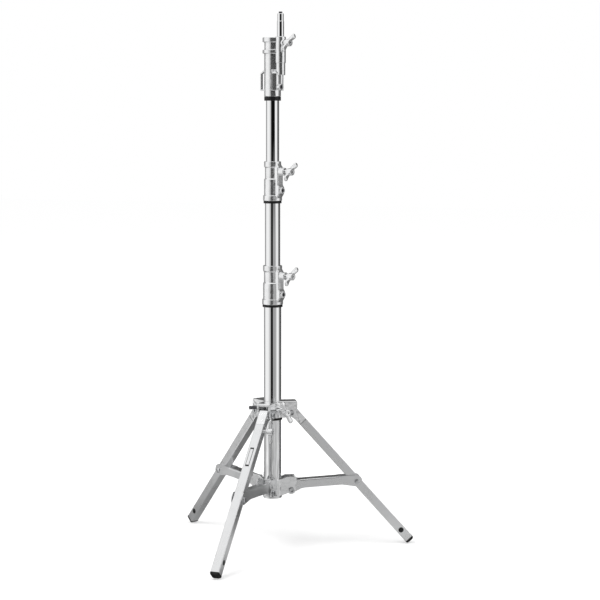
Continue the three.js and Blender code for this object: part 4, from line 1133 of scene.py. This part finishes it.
def makeBrace(spoke, s):
    pivot = placeOf("brace_fold_" + spoke)
    a = math.radians(legSpokes[spoke])
    outwards = np.array([math.sin(a), -math.cos(a), 0])
    rivets = [cornersOf(f"rivet_{spoke}_{side}").mean(axis=0) - pivot for side in ("right", "left")]
    rivet = np.mean(rivets, axis=0)
    far = math.hypot(rivet @ outwards, rivet[2])
    slope = math.atan2(rivet[2], rivet @ outwards) - math.asin(s["rivetLift"] / far)
    rivetOut = math.sqrt(far ** 2 - s["rivetLift"] ** 2)
    place = inOrder(tipped(math.degrees(slope)), swung(legSpokes[spoke]), lambda points: points + pivot)
    piece = finishNode("brace_" + spoke, moved(foldedSheet(rivetOut, s), place), sharp=35)
    thick = piece.modifiers.new("sheet", "SOLIDIFY")
    thick.thickness, thick.offset = s["wall"], -1
    thick.use_even_offset = True
    soft = piece.modifiers.new("softEdges", "BEVEL")
    soft.width, soft.segments = s["edge"], 2
    soft.limit_method, soft.angle_limit = "ANGLE", math.radians(50)
    piece.modifiers.move(0, 2)
    for side, turn in (("right", 0), ("left", 180)):
        makeRivet(f"rivet_{spoke}_{side}", rivetOut, turn, place, s, rivetSizes)


# A domed head: an arc from the rim to the crown.
def makeRivet(node, rivetOut, turn, place, s, r):
    foot = s["outside"] + r["foot"]
    dome = np.linspace(0, np.pi / 2, 9)
    rim = 0.35 * r["height"]
    root = foot - s["wall"] - r["foot"]
    profile = [(0, root), (r["shank"], root), (r["shank"], foot), (r["head"], foot)]
    profile += [(r["head"] * math.cos(a), foot + rim + (r["height"] - rim) * math.sin(a)) for a in dome]
    onBrace = inOrder(facingSide, swung(turn), shifted(0, rivetOut, s["rivetLift"]), place)
    finishNode(node, moved(turned(profile, 48), onBrace))


for spoke in legSpokes:
    makeBrace(spoke, braceSizes)
print("braces made")


# The studio: a white floor, a tent of soft panels that only reflections see, and two softboxes.

studioSettings = {
    "tentRadius": 2.2,
    "tentTop": 2.6,
    "tentSides": 96,
    "blend": (0.45, 0.8),  # heights between which the low panels give way to the high ones
    # (azimuth in degrees from the front leg, brightness); the stops fade into each other
    "lowPanels": [
        (-180, 0.08), (-146, 0.08), (-138, 0.32), (-98, 0.38), (-86, 0.97), (-50, 0.97), (-34, 0.93),
        (-13, 0.56), (-3, 0.44), (0, 0.01), (25, 0.012), (33, 0.42), (48, 0.38), (60, 0.36), (71, 0.6),
        (85, 0.97), (108, 0.94), (118, 0.42), (128, 0.16), (150, 0.08), (180, 0.08),
    ],
    "highPanels": [
        (-180, 0.08), (-146, 0.08), (-138, 0.34), (-96, 0.36), (-84, 0.97), (-46, 0.97), (-34, 0.93),
        (-13, 0.58), (-5, 0.44), (-2, 0.006), (60, 0.004), (68, 0.97), (104, 0.97), (114, 0.22),
        (150, 0.1), (180, 0.08),
    ],
    "floorPanels": [
        (-180, 0.24), (-138, 0.26), (-105, 0.3), (-86, 0.4), (-72, 0.72), (-52, 0.92), (-38, 0.7),
        (-24, 0.36), (-2, 0.26), (6, 0.16), (14, 0.48), (60, 0.5), (116, 0.58), (124, 0.12),
        (166, 0.08), (180, 0.24),
    ],
    "floorSize": 30,
    "floorColour": 0.55,
    "floorLift": (0.47, 0.69),  # the floor's own white, near the stand and far off
    "liftReach": (0.42, 1.1),  # distances from the axis between which it rises
    "patchScale": 4.5,
    "patches": (0.68, 1.42),  # how far the mat's brightness strays
    "ambient": 0.55,
    "lampAim": 0.4,
}
softboxes = {
    "keySoftbox": {"azimuth": -25, "elevation": 55, "distance": 4, "size": 2.5, "power": 130},
    "fillSoftbox": {"azimuth": 100, "elevation": 40, "distance": 4, "size": 2.5, "power": 60},
}


def stageMesh(name, corners, faces):
    mesh = bpy.data.meshes.new(name)
    mesh.from_pydata(corners, [], faces)
    thing = bpy.data.objects.new(name, mesh)
    bpy.context.collection.objects.link(thing)
    return thing


def seenRays(nodes):
    rays = nodes.add("ShaderNodeLightPath").outputs
    shiny = maths(nodes, "MAXIMUM", rays["Is Glossy Ray"], rays["Is Transmission Ray"])
    return maths(nodes, "MAXIMUM", rays["Is Camera Ray"], shiny)


def makeWorld(s):
    world = bpy.data.worlds.new("studio")
    bpy.context.scene.world = world
    world.use_nodes = True
    nodes = Nodes(world.node_tree)
    plain = nodes.add("ShaderNodeBackground", {"Color": (1, 1, 1, 1), "Strength": s["ambient"]})
    white = nodes.add("ShaderNodeBackground", {"Color": (1, 1, 1, 1), "Strength": 1})
    mixed = nodes.add("ShaderNodeMixShader", {0: seenRays(nodes), 1: plain.outputs[0], 2: white.outputs[0]})
    nodes.add("ShaderNodeOutputWorld", {"Surface": mixed.outputs[0]})


def makeFloor(s):
    half = s["floorSize"] / 2
    level = cadBox[0][2] - 0.3 * mm
    corners = [(-half, -half, level), (half, -half, level), (half, half, level), (-half, half, level)]
    floor = stageMesh("floor", corners, [(0, 1, 2, 3)])
    material, nodes, shader = newMaterial("floorWhite")
    shader.inputs["Base Color"].default_value = (*[s["floorColour"]] * 3, 1)
    shader.inputs["Roughness"].default_value = 0.9
    shader.inputs["Specular IOR Level"].default_value = 0
    shader.inputs["Emission Color"].default_value = (1, 1, 1, 1)
    place = nodes.add("ShaderNodeTexCoord").outputs["Object"]
    reach = nodes.add("ShaderNodeVectorMath", {0: place}, operation="LENGTH").outputs["Value"]
    rise = nodes.add("ShaderNodeMapRange", {0: reach, 1: s["liftReach"][0], 2: s["liftReach"][1],
                                            3: s["floorLift"][0], 4: s["floorLift"][1]}).outputs[0]
    lift = maths(nodes, "MULTIPLY", seenRays(nodes), rise)
    nodes.tree.links.new(lift, shader.inputs["Emission Strength"])
    floor.data.materials.append(material)


# Brightness comes from where a point of the tent stands round the axis, through a ramp of panels.
def panelRamp(nodes, turn, panels):
    ramp = nodes.add("ShaderNodeValToRGB", {0: turn})
    stops = ramp.color_ramp.elements
    while len(stops) < len(panels):
        stops.new(0.5)
    for stop, (azimuth, value) in zip(stops, panels):
        stop.position = (azimuth + 180) / 360
        stop.color = (value, value, value, 1)
    return ramp.outputs[0]


def tentMaterial(name, s, wall):
    material = bpy.data.materials.new(name)
    material.use_nodes = True
    nodes = Nodes(material.node_tree)
    place = nodes.add("ShaderNodeTexCoord").outputs["Object"]
    x, y, z = nodes.add("ShaderNodeSeparateXYZ", {0: place}).outputs
    angle = maths(nodes, "ARCTAN2", x, maths(nodes, "MULTIPLY", y, -1))
    turn = nodes.add("ShaderNodeMapRange", {0: angle, 1: -math.pi, 2: math.pi, 3: 0, 4: 1}).outputs[0]
    if wall:
        low, high = s["blend"]
        height = nodes.add("ShaderNodeMapRange", {0: z, 1: low, 2: high, 3: 0, 4: 1}).outputs[0]
        ramps = [panelRamp(nodes, turn, s[panels]) for panels in ("lowPanels", "highPanels")]
        glow = blended(nodes, height, *ramps)
    else:
        patch = spread(nodes, noise(nodes, place, s["patchScale"], 3), *s["patches"])
        ramp = panelRamp(nodes, turn, s["floorPanels"])
        glow = nodes.add("ShaderNodeVectorMath", {0: ramp, "Scale": patch}, operation="SCALE").outputs[0]
    light = nodes.add("ShaderNodeEmission", {"Color": glow, "Strength": 1})
    nodes.add("ShaderNodeOutputMaterial", {"Surface": light.outputs[0]})
    return material


def makeTent(s):
    count = s["tentSides"]
    around = np.linspace(0, 2 * np.pi, count + 1)[:-1]
    circle = s["tentRadius"] * np.stack([np.sin(around), -np.cos(around)], 1)
    low, high = cadBox[0][2] - 0.2 * mm, s["tentTop"]
    corners = np.concatenate([np.c_[circle, 0 * around + low], np.c_[circle, 0 * around + high]])
    index = np.arange(count)
    beside = np.roll(index, -1)
    faces = np.stack([index, beside, beside + count, index + count], 1).tolist()
    wall = stageMesh("tentWall", corners, faces)
    wall.data.materials.append(tentMaterial("tentPanels", s, True))
    ground = stageMesh("tentFloor", corners[:count], [index.tolist()])
    ground.data.materials.append(tentMaterial("tentMat", s, False))
    for panel in (wall, ground):
        for ray in ("camera", "diffuse", "shadow", "transmission", "volume_scatter"):
            setattr(panel, "visible_" + ray, False)


def makeSoftbox(name, s, aim):
    back = towards(s["azimuth"], s["elevation"])
    lamp = bpy.data.lights.new(name, "AREA")
    lamp.size = s["size"]
    lamp.energy = s["power"]
    box = bpy.data.objects.new(name, lamp)
    bpy.context.collection.objects.link(box)
    box.location = back * s["distance"] + Vector((0, 0, aim))
    box.rotation_euler = back.to_track_quat("Z", "Y").to_euler()
    box.visible_glossy = False


makeWorld(studioSettings)
makeFloor(studioSettings)
makeTent(studioSettings)
for softbox, settings in softboxes.items():
    makeSoftbox(softbox, settings, studioSettings["lampAim"])
print("studio made")
